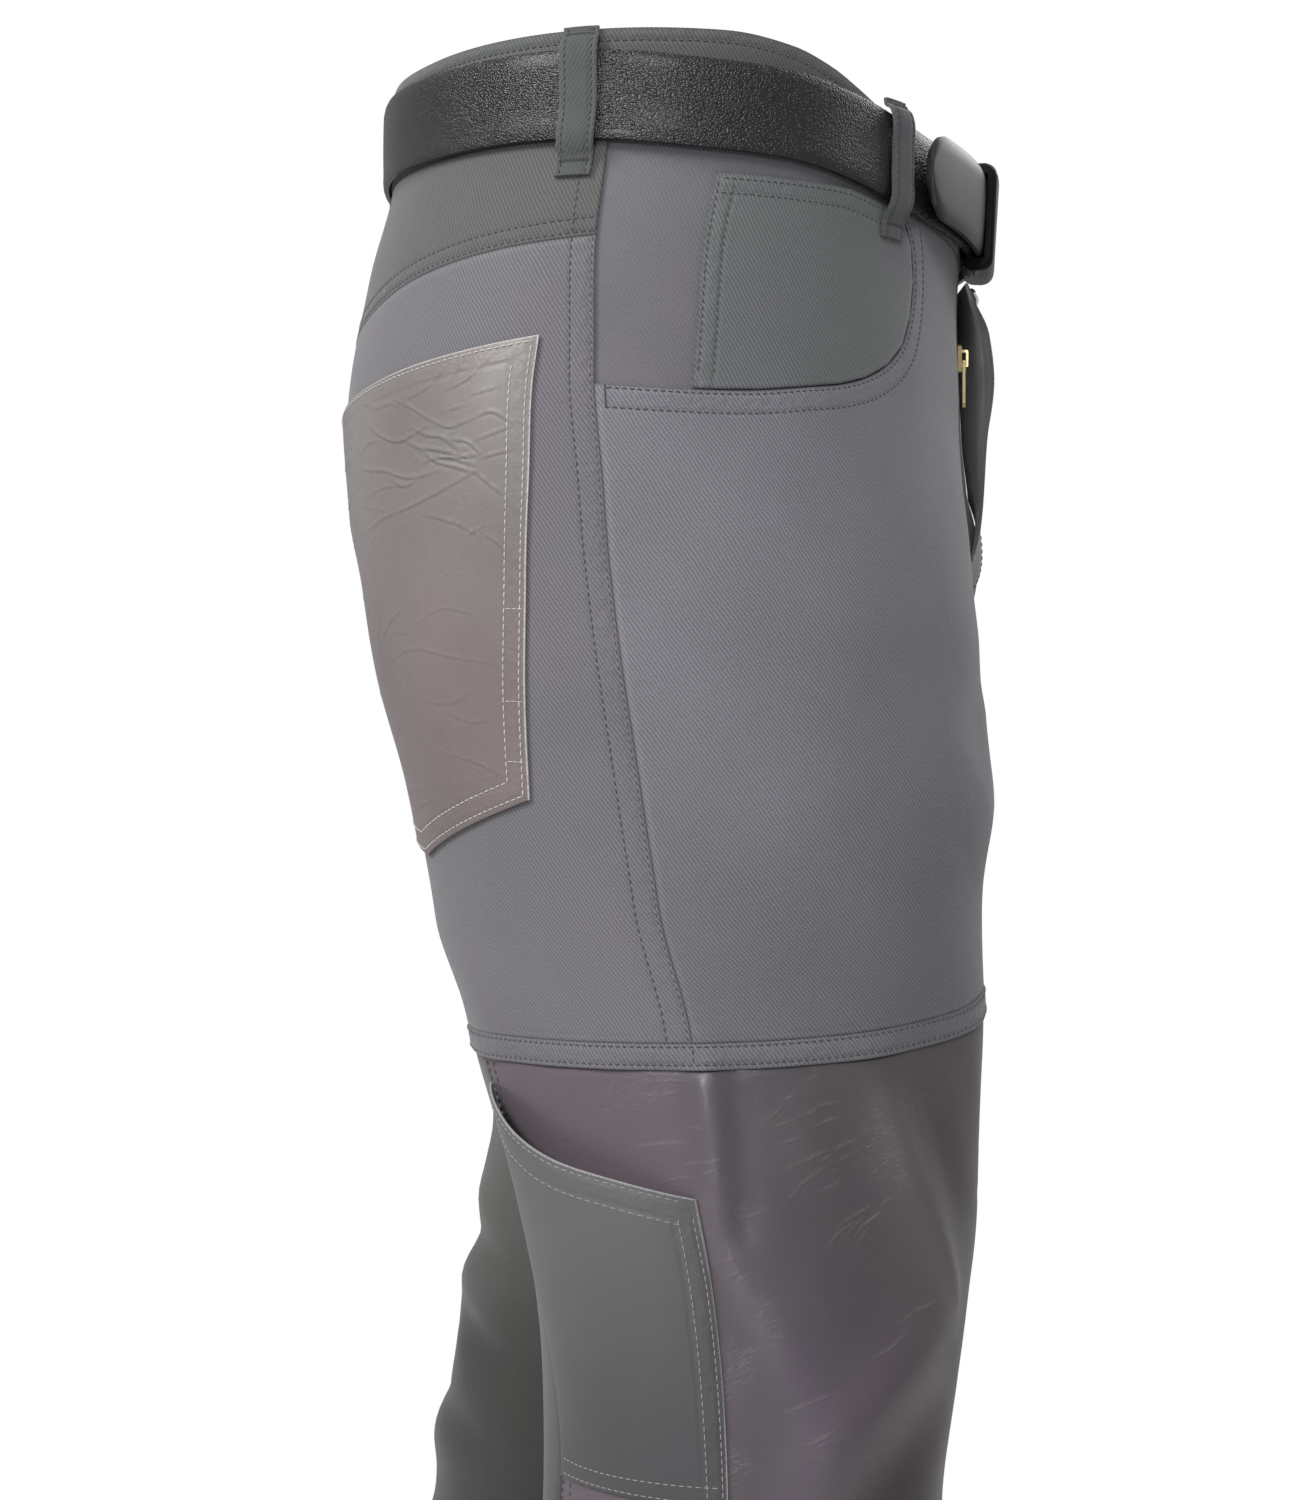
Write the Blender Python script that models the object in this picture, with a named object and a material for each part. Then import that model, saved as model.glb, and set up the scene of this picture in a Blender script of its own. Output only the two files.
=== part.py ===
"""Worn work trousers with leather-look panels and their own belt, as separate cut pieces.

Lengths are millimetres here and become metres when a mesh is made. The wearer faces -Y, the
wearer's right is -X and +Z is up. The origin is the middle of the waist at the belt's height.
A place on the cloth is (s, z): s runs round from the side seam, forwards above zero and
backwards below it, and z is the height.
"""
import math

import bmesh
import bpy
import numpy as np
from mathutils import Vector
from mathutils.geometry import delaunay_2d_cdt

MM = 0.001
RIGHT = -1.0
LEFT = 1.0
SIDES = (("R", RIGHT), ("L", LEFT))

# Driving sizes of the cloth
CLOTH = 1.2
SEAM_GAP = 0.3
HALF_GAP = SEAM_GAP / 2.0
MIDDLE_GAP = 0.2
LAYER_GAP = 0.5
PATCH_GAP = 0.8
LEG_SINK = 0.5
LEG_END = -1055.0
CROTCH = -264.0
HEM_HEIGHT = 10.0
HEM_PROUD = 0.9
WAISTBAND_PROUD = 0.6
WAISTBAND_WALL = 2.1
FOLD_FADE = 30.0

# Driving sizes of the belt and its buckle
BELT_WIDTH = 35.0
BELT_THICK = 3.5
BUCKLE_HEIGHT = 46.0
BUCKLE_HALF_LENGTH = 20.0
BUCKLE_BACK = 1.4
BUCKLE_BACK_WALL = 1.5
BUCKLE_FRONT = 15.6
BUCKLE_FRONT_WALL = 4.0
BUCKLE_ROUND = 5.5
BUCKLE_ROOM = 0.6
BUCKLE_ROOM_ROUND = 0.8
BUCKLE_RINGS = 7
BELT_FACE = 1.1
BELT_SOFT = 1.0
BELT_CROWN = 0.2
BELT_STATIONS = 60
STRAP_IN_BUCKLE = BUCKLE_BACK + BUCKLE_BACK_WALL + 0.4
TAIL_IN_BUCKLE = STRAP_IN_BUCKLE + BELT_THICK + 0.8
TAIL_TIP_S = 141.0
TAIL_TIP_OFFSET = 9.0
TIP_ROUND = 14.0
TIP_STATIONS = 5

# Driving sizes of the belt loops
LOOP_HALF_WIDTH = 7.0
LOOP_THICK = 1.6
LOOP_ROOM = 0.5
LOOP_ABOVE = 7.5
LOOP_BELOW = 14.0
LOOP_FRONT_S = 129.0
LOOP_SIDE_S = -11.0
LOOP_PLACES = 4

# Driving sizes of the fly
SLIT_HALF = 3.5
SLIT_END = -188.0
TAPE_CLEAR = 2.8
TAPE_GAP = 1.2
TAPE_THICK = 1.0
TAPE_WIDTH = 11.0
FLY_TOP = -43.5
FLY_END = -192.0
FLY_WIDTH = 38.0
FLY_CURVE = 34.0
FLY_CLEAR = 0.5
SNAP_RADIUS = 3.8
SNAP_HEIGHT = 2.6
SNAP_Z = -48.8
SNAP_INSET = 6.0
SNAP_SIDES = 16

# Driving sizes of the zip's metal
CHAIN_HALF = 2.4
CHAIN_BACK = 1.3
CHAIN_FACE = 0.1
CHAIN_RINGS = 9
SLIDER_Z = -78.0
SLIDER_HALF_WIDTH = 4.1
SLIDER_HALF_HEIGHT = 6.0
SLIDER_FACE = 0.6
SLIDER_PLATE = 1.8
STAPLE_GAP = 1.8
STAPLE_BAR = 1.0
STAPLE_HALF_WIDTH = 0.8
STAPLE_HALF_HEIGHT = 3.8
STAPLE_FOOT = 1.2
STAPLE_SINK = 0.5
PULL_AXIS_OUT = 0.95
PULL_AXIS_DOWN = 1.6
PULL_BAR_RADIUS = 0.55
PULL_LENGTH = 20.0
PULL_HALF_WIDTH = 2.4
PULL_ARM = 1.1
PULL_WINDOW = 6.4
PULL_HALF_THICK = 0.6

# Half of the body at each height. Depths run from centre_y to the front and to the back, the
# two halves meet at x = 0 above the crotch, and stride moves the right leg forwards and the
# left leg backwards. square is the exponent of the rounded section, seam turns the side seam.
SECTION_COLUMNS = (
    "z", "half_width", "centre_x", "front", "back", "centre_y", "stride", "square", "seam")
SECTIONS = (
    (60.0, 165.0, 0.0, 130.0, 121.0, 0.0, 0.0, 2.00, -2.0),
    (0.0, 166.0, 0.0, 130.0, 121.0, 0.0, 0.0, 2.00, -2.0),
    (-50.0, 166.0, 8.0, 131.0, 126.0, 4.0, 0.0, 2.05, -2.0),
    (-104.0, 161.0, 20.0, 136.0, 128.5, 8.0, 0.0, 2.10, 2.0),
    (-150.0, 148.0, 37.0, 135.0, 129.5, 4.0, 3.0, 2.15, -1.0),
    (-184.0, 128.0, 58.0, 130.0, 127.5, -2.0, 5.0, 2.15, -6.0),
    (-224.0, 107.0, 79.0, 126.0, 124.0, -6.0, 8.0, 2.10, -8.0),
    (-264.0, 92.0, 92.0, 122.0, 118.0, -10.0, 11.0, 2.05, -9.0),
    (-310.0, 88.0, 96.0, 112.0, 112.0, -14.0, 13.0, 2.00, -8.0),
    (-364.0, 85.0, 99.0, 108.0, 103.0, -16.0, 16.0, 2.00, 0.0),
    (-424.0, 81.0, 102.0, 97.0, 92.5, -16.0, 24.0, 2.00, 0.0),
    (-480.0, 78.0, 105.0, 88.0, 86.0, -12.0, 33.0, 2.00, 0.0),
    (-560.0, 77.0, 110.0, 78.0, 82.0, -1.0, 43.0, 2.00, 0.0),
    (-660.0, 75.0, 115.0, 76.0, 81.0, 11.0, 50.0, 2.00, 0.0),
    (-800.0, 72.0, 122.0, 74.0, 78.0, 18.0, 55.0, 2.00, 0.0),
    (-930.0, 70.0, 128.0, 72.0, 75.0, 23.0, 59.0, 2.00, 0.0),
    (-1058.0, 70.0, 135.0, 71.0, 73.0, 28.0, 63.0, 2.00, 0.0),
)
STRIDE_BLEND = 80.0
STRIDE_BLEND_LOW = 4.0
STRIDE_BLEND_FROM = -330.0
STRIDE_BLEND_OVER = 100.0
SECTION_STEPS = 96

# Lines that run round the body, as heights over s
WAIST_TOP = (
    (-240.0, 34.0), (-148.0, 31.0), (-92.0, 28.0), (0.0, 27.0), (45.0, 27.0), (73.0, 24.0),
    (94.0, 18.0), (106.0, 13.0), (121.0, 7.0), (133.0, 4.0), (240.0, -1.0))
WAIST_LOW = (
    (-240.0, -7.0), (-148.0, -10.0), (-92.0, -13.0), (0.0, -14.0), (73.0, -17.0),
    (106.0, -24.0), (133.0, -31.0), (240.0, -38.0))
BELT_LINE = (
    (-240.0, 11.0), (-156.0, 8.0), (-79.0, 3.0), (-10.0, 1.0), (34.0, -2.5), (73.0, -4.5),
    (106.0, -9.5), (133.0, -14.5), (160.0, -17.5), (240.0, -19.0))
YOKE_LINE = (
    (-250.0, -90.0), (-139.0, -72.0), (-89.0, -63.0), (-40.0, -57.0), (0.0, -54.0))
HEM_LINE = (
    (-310.0, -363.0), (-200.0, -371.0), (-92.0, -373.0), (0.0, -371.5), (54.0, -369.0),
    (115.0, -363.0), (170.0, -355.0), (315.0, -363.0))
# The seam between the leather-look leg and the twill behind it, as s over height
LEATHER_SEAM = (
    (-1058.0, -84.0), (-800.0, -82.0), (-534.0, -82.0), (-450.0, -98.0), (-370.0, -106.0))

# Edge of the scooped front pocket, from the side seam to the waistband
SCOOP_EDGE = (
    (0.0, -112.0), (24.0, -113.6), (46.0, -114.0), (66.0, -113.2), (85.0, -111.0),
    (102.0, -108.6), (117.0, -104.5), (131.0, -98.0), (143.0, -88.5), (151.5, -75.0),
    (155.0, -60.0), (152.0, -46.0), (144.0, -36.0), (139.0, -32.6))
FACING_LAP = 11.0
FACING_UNDER = 6.0
COIN_LEFT_TOP = 43.0
COIN_LEFT_LOW = 37.0
COIN_TOP = -28.0
COIN_LEVEL = 62.0
COIN_DROP = 4.5
COIN_RIGHT = 7.0
COIN_RAISE = 0.7

# Corners of the five-sided back pocket
BACK_POCKET = (
    (-21.0, -93.0), (-33.0, -181.0), (-45.0, -270.0), (-117.0, -293.0), (-189.0, -281.0),
    (-194.0, -196.0), (-197.0, -113.0), (-109.0, -103.0))

# The tool pocket on the right leg
TOOL_MOUTH = (
    (-103.5, -383.0), (-92.0, -388.0), (-72.0, -398.0), (-55.0, -405.5), (-34.0, -412.0),
    (-17.0, -417.0), (-6.0, -420.0))
TOOL_BOTTOM = -535.0
TOOL_FRONT_LOW = 1.0
TOOL_BULGE = 12.0
TOOL_INNER = -0.1
TOOL_TACK = 1.6

# How far the free edge of the fly flap stands off, over height
FLY_LIFT = (
    (-192.0, 0.0), (-180.0, 2.6), (-160.0, 7.0), (-147.0, 8.5), (-113.0, 11.8), (-86.0, 15.0),
    (-67.0, 13.3), (-50.0, 6.0), (-43.5, 3.0))

# Soft folds in the cloth, on one side or on both (side 0), from (s0, z0) to (s1, z1)
FOLD_COLUMNS = ("side", "s0", "z0", "s1", "z1", "height", "spread")
FOLDS = (
    (0.0, 9.0, -376.0, 12.0, -455.0, 2.6, 9.0),
    (0.0, 66.0, -378.0, 100.0, -486.0, 3.0, 13.0),
    (0.0, 38.0, -400.0, 60.0, -500.0, -2.0, 16.0),
    (0.0, 92.0, -466.0, 18.0, -540.0, 3.6, 11.0),
    (0.0, 112.0, -492.0, 40.0, -556.0, -2.8, 13.0),
    (0.0, 205.0, -215.0, 150.0, -262.0, -2.6, 14.0),
    (0.0, 200.0, -250.0, 135.0, -292.0, 2.2, 13.0),
    (0.0, -235.0, -300.0, -140.0, -326.0, 2.6, 13.0),
    (0.0, -250.0, -338.0, -120.0, -350.0, -2.2, 12.0),
    (0.0, 150.0, -560.0, 40.0, -600.0, 3.0, 15.0),
    (0.0, 170.0, -640.0, 60.0, -628.0, -2.8, 15.0),
    (0.0, -215.0, -560.0, -110.0, -592.0, 4.0, 15.0),
    (0.0, -215.0, -628.0, -100.0, -618.0, -3.2, 14.0),
    (0.0, -205.0, -668.0, -110.0, -650.0, 3.4, 15.0),
    (0.0, 190.0, -690.0, 120.0, -760.0, 2.4, 16.0),
    (LEFT, -200.0, -440.0, -110.0, -470.0, 4.0, 16.0),
    (LEFT, -205.0, -506.0, -105.0, -512.0, 6.5, 13.0),
    (LEFT, 224.0, -136.0, 232.0, -200.0, 5.5, 14.0),
    (0.0, 160.0, -930.0, -20.0, -950.0, 2.6, 15.0),
    (0.0, 120.0, -986.0, -60.0, -978.0, -2.4, 14.0),
    (0.0, -180.0, -960.0, -60.0, -985.0, 3.0, 15.0),
    (0.0, 90.0, -1020.0, -40.0, -1012.0, 2.4, 12.0),
)

# Spacing of a panel's inner points
TORSO_GRID = (17.0, 26.0)
LEG_GRID = (24.0, 32.0)
PATCH_GRID = (14.0, 22.0)
TOOL_GRID = (12.0, 22.0)
COIN_GRID = (9.0, 21.0)
FLY_GRID = (9.0, 14.0)
TAPE_GRID = (7.0, 20.0)
NO_GRID = (400.0, 400.0)
EDGE_STEP = 18.0
LEG_STEP = 32.0
ROUND_STEP = 14.0
SCOOP_STEP = 30.0

COLOURS = {
    "twill": ((0.140, 0.135, 0.150), 0.85, 0.0),
    "twill_dark": ((0.055, 0.058, 0.058), 0.85, 0.0),
    "facing": ((0.150, 0.145, 0.160), 0.85, 0.0),
    "leather_leg": ((0.105, 0.088, 0.100), 0.50, 0.0),
    "leather_pocket": ((0.235, 0.215, 0.205), 0.50, 0.0),
    "leather_tool": ((0.140, 0.140, 0.138), 0.50, 0.0),
    "belt": ((0.030, 0.030, 0.030), 0.40, 0.0),
    "buckle": ((0.015, 0.015, 0.015), 0.20, 0.6),
    "brass": ((0.780, 0.600, 0.260), 0.30, 1.0),
    "steel": ((0.700, 0.700, 0.710), 0.25, 1.0),
    "tape": ((0.040, 0.040, 0.042), 0.90, 0.0),
}


def clear_scene():
    """Remove whatever objects the scene starts with."""
    for item in list(bpy.data.objects):
        bpy.data.objects.remove(item, do_unlink=True)


def smooth_curve(rows, column, at):
    """Monotone smooth curve through one column of a table whose first column is the place."""
    ordered = sorted(rows)
    place = np.array([row[0] for row in ordered])
    value = np.array([row[column] for row in ordered])
    slope = np.diff(value) / np.diff(place)
    tangent = np.zeros_like(value)
    product = slope[:-1] * slope[1:]
    total = slope[:-1] + slope[1:]
    safe = np.where(product > 0.0, total, 1.0)
    tangent[1:-1] = np.where(product > 0.0, 2.0 * product / safe, 0.0)
    tangent[0] = slope[0]
    tangent[-1] = slope[-1]
    at = np.clip(np.asarray(at, dtype=float), place[0], place[-1])
    index = np.clip(np.searchsorted(place, at) - 1, 0, len(place) - 2)
    width = place[index + 1] - place[index]
    t = (at - place[index]) / width
    start = (2 * t**3 - 3 * t**2 + 1) * value[index]
    leave = (t**3 - 2 * t**2 + t) * width * tangent[index]
    end = (3 * t**2 - 2 * t**3) * value[index + 1]
    arrive = (t**3 - t**2) * width * tangent[index + 1]
    return start + leave + end + arrive


def section(z):
    """All section sizes at the heights z."""
    names = SECTION_COLUMNS[1:]
    return {name: smooth_curve(SECTIONS, i + 1, z) for i, name in enumerate(names)}


def quarter_lines(sizes, sign):
    """Points of half a section from its outermost place to its end, one row for each height."""
    ratio = np.clip(sizes["centre_x"] / sizes["half_width"], 0.0, 1.0)
    end = np.pi - np.arccos(ratio ** (sizes["square"] / 2.0))
    angle = np.linspace(0.0, 1.0, SECTION_STEPS)[None, :] * end[:, None]
    power = (2.0 / sizes["square"])[:, None]
    cosine = np.cos(angle)
    wide = np.sign(cosine) * np.abs(cosine) ** power
    deep = np.abs(np.sin(angle)) ** power
    depth = np.where(sign >= 0.0, sizes["front"], sizes["back"])
    x = sizes["centre_x"][:, None] + sizes["half_width"][:, None] * wide
    y = -np.where(sign >= 0.0, 1.0, -1.0)[:, None] * depth[:, None] * deep
    step = np.hypot(np.diff(x, axis=1), np.diff(y, axis=1))
    length = np.concatenate([np.zeros((len(x), 1)), np.cumsum(step, axis=1)], axis=1)
    return x, y, length


def front_end(z):
    """s of the front's inner edge, at the middle above the crotch and the inseam below it."""
    z = np.atleast_1d(np.asarray(z, dtype=float))
    sizes = section(z)
    return quarter_lines(sizes, np.ones(len(z)))[2][:, -1] - sizes["seam"]


def back_end(z):
    """s of the back's inner edge."""
    z = np.atleast_1d(np.asarray(z, dtype=float))
    sizes = section(z)
    return -quarter_lines(sizes, -np.ones(len(z)))[2][:, -1] - sizes["seam"]


def body_points(side, s, z):
    """Points of the smooth body form, before any fold."""
    sizes = section(z)
    along = s + sizes["seam"]
    x, y, length = quarter_lines(sizes, along)
    want = np.minimum(np.abs(along), length[:, -1])
    index = np.clip((length <= want[:, None]).sum(axis=1) - 1, 0, SECTION_STEPS - 2)
    row = np.arange(len(s))
    span = length[row, index + 1] - length[row, index]
    share = (want - length[row, index]) / span
    out_x = x[row, index] + (x[row, index + 1] - x[row, index]) * share
    out_y = y[row, index] + (y[row, index + 1] - y[row, index]) * share
    low = np.clip((z - STRIDE_BLEND_FROM) / STRIDE_BLEND_OVER, 0.0, 1.0)
    blend = np.clip(out_x / (STRIDE_BLEND_LOW + STRIDE_BLEND * low), 0.0, 1.0)
    out_y = out_y + sizes["centre_y"] + side * sizes["stride"] * blend
    return np.stack([side * (out_x + MIDDLE_GAP), out_y, z], axis=1)


def surface_normals(points, side, s, z, step=0.6):
    """Outward normals of a surface given as a function of side, s and z."""
    s = np.clip(s, back_end(z) + 2.0 * step, front_end(z) - 2.0 * step)
    forward = points(side, s + step, z) - points(side, s - step, z)
    upward = points(side, s, z + step) - points(side, s, z - step)
    normal = np.cross(forward, upward) * -side
    return normal / np.linalg.norm(normal, axis=1)[:, None]


def fold_height(side, s, z):
    """How far the folds move the cloth outwards."""
    height = np.zeros_like(s)
    for row in FOLDS:
        fold = dict(zip(FOLD_COLUMNS, row))
        if fold["side"] not in (0.0, side):
            continue
        run = np.array([fold["s1"] - fold["s0"], fold["z1"] - fold["z0"]])
        length = np.linalg.norm(run)
        run = run / length
        along = (s - fold["s0"]) * run[0] + (z - fold["z0"]) * run[1]
        across = (s - fold["s0"]) * -run[1] + (z - fold["z0"]) * run[0]
        middle = np.clip(along / length, 0.0, 1.0)
        beyond = along - middle * length
        taper = np.sin(np.pi * np.clip(along / length, 0.03, 0.97)) ** 0.6
        reach = np.exp(-(across**2 + beyond**2) / (2.0 * fold["spread"] ** 2))
        height += fold["height"] * taper * reach
    return height


def cloth_points(side, s, z):
    """Points of the outer face of the main panels."""
    body = body_points(side, s, z)
    normal = surface_normals(body_points, side, s, z)
    edge = np.clip(np.minimum(front_end(z) - s, s - back_end(z)) / FOLD_FADE, 0.0, 1.0)
    return body + normal * (fold_height(side, s, z) * edge)[:, None]


def place(side, s, z, offset):
    """Points that lie offset outside the main panels' outer face."""
    s = np.asarray(s, dtype=float)
    z = np.asarray(z, dtype=float)
    normal = surface_normals(cloth_points, side, s, z)
    return cloth_points(side, s, z) + normal * np.asarray(offset, dtype=float)[..., None]


def material(name):
    """Plain Principled material of one of the named colours."""
    found = bpy.data.materials.get(name)
    if found:
        return found
    colour, rough, metal = COLOURS[name]
    made = bpy.data.materials.new(name)
    made.use_nodes = True
    shader = made.node_tree.nodes["Principled BSDF"]
    shader.inputs["Base Color"].default_value = (*colour, 1.0)
    shader.inputs["Roughness"].default_value = rough
    shader.inputs["Metallic"].default_value = metal
    made.diffuse_color = (*colour, 1.0)
    return made


def make_object(name, points, faces, colour, smooth=True):
    """Object from points in millimetres, with its faces turned outwards."""
    mesh = bpy.data.meshes.new(name)
    form = bmesh.new()
    corners = [form.verts.new(Vector(point) * MM) for point in points]
    for face in faces:
        form.faces.new([corners[i] for i in face])
    bmesh.ops.recalc_face_normals(form, faces=form.faces[:])
    bmesh.ops.triangulate(form, faces=form.faces[:])
    form.to_mesh(mesh)
    form.free()
    if smooth:
        mesh.shade_smooth()
        mesh.set_sharp_from_angle(angle=math.radians(40.0))
    mesh.materials.append(material(colour))
    made = bpy.data.objects.new(name, mesh)
    bpy.context.scene.collection.objects.link(made)
    return made


def run(points, step=EDGE_STEP):
    """Points along an open line through the given corners, no further apart than step."""
    line = [points[0]]
    for start, end in zip(points[:-1], points[1:]):
        count = max(1, math.ceil(math.dist(start, end) / step))
        for i in range(1, count + 1):
            share = i / count
            line.append((start[0] + (end[0] - start[0]) * share,
                         start[1] + (end[1] - start[1]) * share))
    return line


def along_height(s_of_z, start, end, step=EDGE_STEP):
    """Points of an edge whose s is a function of the height."""
    count = max(1, math.ceil(abs(end - start) / step))
    heights = np.linspace(start, end, count + 1)
    return [(float(s_of_z(z)), float(z)) for z in heights]


def along_round(z_of_s, start, end, step=EDGE_STEP):
    """Points of an edge whose height is a function of s."""
    count = max(1, math.ceil(abs(end - start) / step))
    places = np.linspace(start, end, count + 1)
    return [(float(s), float(z_of_s(s))) for s in places]


def line_at(rows, lift=0.0):
    """A line round the body as a function of s."""
    return lambda s: smooth_curve(rows, 1, s) + lift


def front_edge(z):
    """s of the front's inner edge at one height."""
    return front_end(z)[0]


def back_edge(z):
    """s of the back's inner edge at one height."""
    return back_end(z)[0]


def meeting(line, edge, start):
    """Height at which a line round the body meets an inner edge."""
    z = start
    for _ in range(30):
        z = float(line(edge(z)))
    return z


def inset(outline, gap):
    """The outline moved inwards by the gap."""
    corners = np.array(outline)
    before = np.roll(corners, 1, axis=0)
    after = np.roll(corners, -1, axis=0)
    area = np.sum(corners[:, 0] * after[:, 1] - after[:, 0] * corners[:, 1])
    turn = 1.0 if area > 0 else -1.0
    first = corners - before
    second = after - corners
    first = first / np.linalg.norm(first, axis=1)[:, None]
    second = second / np.linalg.norm(second, axis=1)[:, None]
    inward_first = np.stack([-first[:, 1], first[:, 0]], axis=1) * turn
    inward_second = np.stack([-second[:, 1], second[:, 0]], axis=1) * turn
    middle = inward_first + inward_second
    middle = middle / np.linalg.norm(middle, axis=1)[:, None]
    reach = np.maximum(np.sum(middle * inward_first, axis=1), 0.35)
    return corners + middle * (gap / reach)[:, None]


def without_repeats(outline):
    """The outline without points that repeat the one before."""
    kept = []
    for point in outline:
        if not kept or math.dist(point, kept[-1]) > 0.05:
            kept.append(point)
    if math.dist(kept[0], kept[-1]) <= 0.05:
        kept.pop()
    return kept


def inner_points(outline, grid):
    """Staggered grid points inside an outline and clear of it."""
    step_s, step_z = grid
    low = outline.min(axis=0)
    high = outline.max(axis=0)
    found = []
    start = outline
    end = np.roll(outline, -1, axis=0)
    span = end - start
    for row in range(math.floor(low[1] / step_z), math.ceil(high[1] / step_z) + 1):
        z = row * step_z
        shift = 0.5 * (row % 2)
        for column in range(math.floor(low[0] / step_s) - 1, math.ceil(high[0] / step_s) + 1):
            s = (column + shift) * step_s
            crosses = (start[:, 1] > z) != (end[:, 1] > z)
            rise = np.where(crosses, end[:, 1] - start[:, 1], 1.0)
            cut = start[:, 0] + (z - start[:, 1]) * span[:, 0] / rise
            if np.count_nonzero(crosses & (cut > s)) % 2 == 0:
                continue
            point = np.array([s, z])
            share = np.sum((point - start) * span, axis=1) / np.sum(span * span, axis=1)
            nearest = start + span * np.clip(share, 0.0, 1.0)[:, None]
            if np.linalg.norm(nearest - point, axis=1).min() > 0.42 * step_s:
                found.append((s, z))
    return found


def wall(name, side, outline, inner, outer, grid, colour, gap=HALF_GAP):
    """Closed cloth wall over a flat outline, between two offsets from the main face.

    inner and outer are numbers, or functions of s and z.
    """
    edge = inset(without_repeats(outline), gap)
    flat = [Vector(point) for point in edge]
    flat += [Vector(point) for point in inner_points(edge, grid)]
    filled = delaunay_2d_cdt(flat, [], [list(range(len(edge)))], 1, 1e-4)
    corners = np.array([tuple(point) for point in filled[0]])
    triangles = [tuple(face) for face in filled[2]]
    s = corners[:, 0]
    z = corners[:, 1]
    count = len(corners)
    layers = []
    for offset in (inner, outer):
        value = offset(s, z) if callable(offset) else np.full(count, float(offset))
        layers.append(place(side, s, z, value))
    points = np.concatenate(layers)
    used = {}
    for face in triangles:
        for a, b in zip(face, face[1:] + face[:1]):
            used[(a, b)] = True
    rim = [pair for pair in used if (pair[1], pair[0]) not in used]
    faces = [tuple(reversed(face)) for face in triangles]
    faces += [tuple(i + count for i in face) for face in triangles]
    faces += [(a, b, b + count, a + count) for a, b in rim]
    return make_object(name, points, faces, colour)


def tube_between(name, rings, colour, closed=False, smooth=True):
    """Solid through a row of rings of equal length, capped at both ends unless it closes."""
    size = len(rings[0])
    points = np.concatenate(rings)
    faces = []
    last = len(rings) if closed else len(rings) - 1
    for i in range(last):
        a = i * size
        b = ((i + 1) % len(rings)) * size
        for j in range(size):
            k = (j + 1) % size
            faces.append((a + j, a + k, b + k, b + j))
    if not closed:
        faces.append(tuple(range(size)))
        faces.append(tuple(range(len(points) - 1, len(points) - 1 - size, -1)))
    return make_object(name, points, faces, colour, smooth)


def round_waist(u, z, offset):
    """Places round the whole waist: u is zero at the back's middle and grows to the left.

    u is measured at height zero, and other heights are stretched to match.
    """
    u = np.asarray(u, dtype=float)
    z = np.asarray(z, dtype=float)
    offset = np.broadcast_to(np.asarray(offset, dtype=float), u.shape)
    half = front_end(z) - back_end(z)
    level = float(front_edge(0.0) - back_edge(0.0))
    distance = np.abs(u) * half / level
    crossed = distance > half
    side = np.where(u >= 0.0, LEFT, RIGHT)
    side = np.where(crossed, -side, side)
    s = np.where(crossed, 2.0 * half - distance, distance) + back_end(z)
    points = np.zeros((len(u), 3))
    for one in (RIGHT, LEFT):
        chosen = side == one
        if chosen.any():
            points[chosen] = place(one, s[chosen], z[chosen], offset[chosen])
    return points


def waist_s(u):
    """s at a place round the waist, taken at the belt's height."""
    half = float(front_edge(0.0) - back_edge(0.0))
    distance = abs(u)
    if distance > half:
        distance = 2.0 * half - distance
    return distance + float(back_edge(0.0))


def make_waistband(tag, side):
    """The shaped band above the waist seam."""
    top = line_at(WAIST_TOP)
    low = line_at(WAIST_LOW)
    top_front = meeting(top, front_edge, 0.0)
    low_front = meeting(low, front_edge, -36.0)
    top_back = meeting(top, back_edge, 30.0)
    low_back = meeting(low, back_edge, -8.0)
    outline = along_round(top, back_edge(top_back), front_edge(top_front), ROUND_STEP)
    outline += run([outline[-1], (front_edge(low_front), low_front)])
    outline += along_round(low, front_edge(low_front), back_edge(low_back), ROUND_STEP)
    outline += run([outline[-1], outline[0]])
    inner = WAISTBAND_PROUD - WAISTBAND_WALL
    wall("waistband_" + tag, side, outline, inner, WAISTBAND_PROUD, TORSO_GRID, "twill")


def make_yoke(tag, side):
    """The back yoke between the waist seam and the yoke seam."""
    low = line_at(WAIST_LOW)
    yoke = line_at(YOKE_LINE)
    low_back = meeting(low, back_edge, -8.0)
    yoke_back = meeting(yoke, back_edge, -88.0)
    outline = along_round(low, 0.0, back_edge(low_back))
    outline += along_height(back_edge, low_back, yoke_back)
    outline += along_round(yoke, back_edge(yoke_back), 0.0)
    outline += run([outline[-1], outline[0]])
    wall("yoke_" + tag, side, outline, -CLOTH, 0.0, TORSO_GRID, "twill")


def rise_heights(start):
    """Heights down the rise to the crotch, closer together where it curves under."""
    count = 9
    drop = [math.sin(0.5 * math.pi * i / count) for i in range(count + 1)]
    return [start + (CROTCH - start) * share for share in drop]


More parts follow.
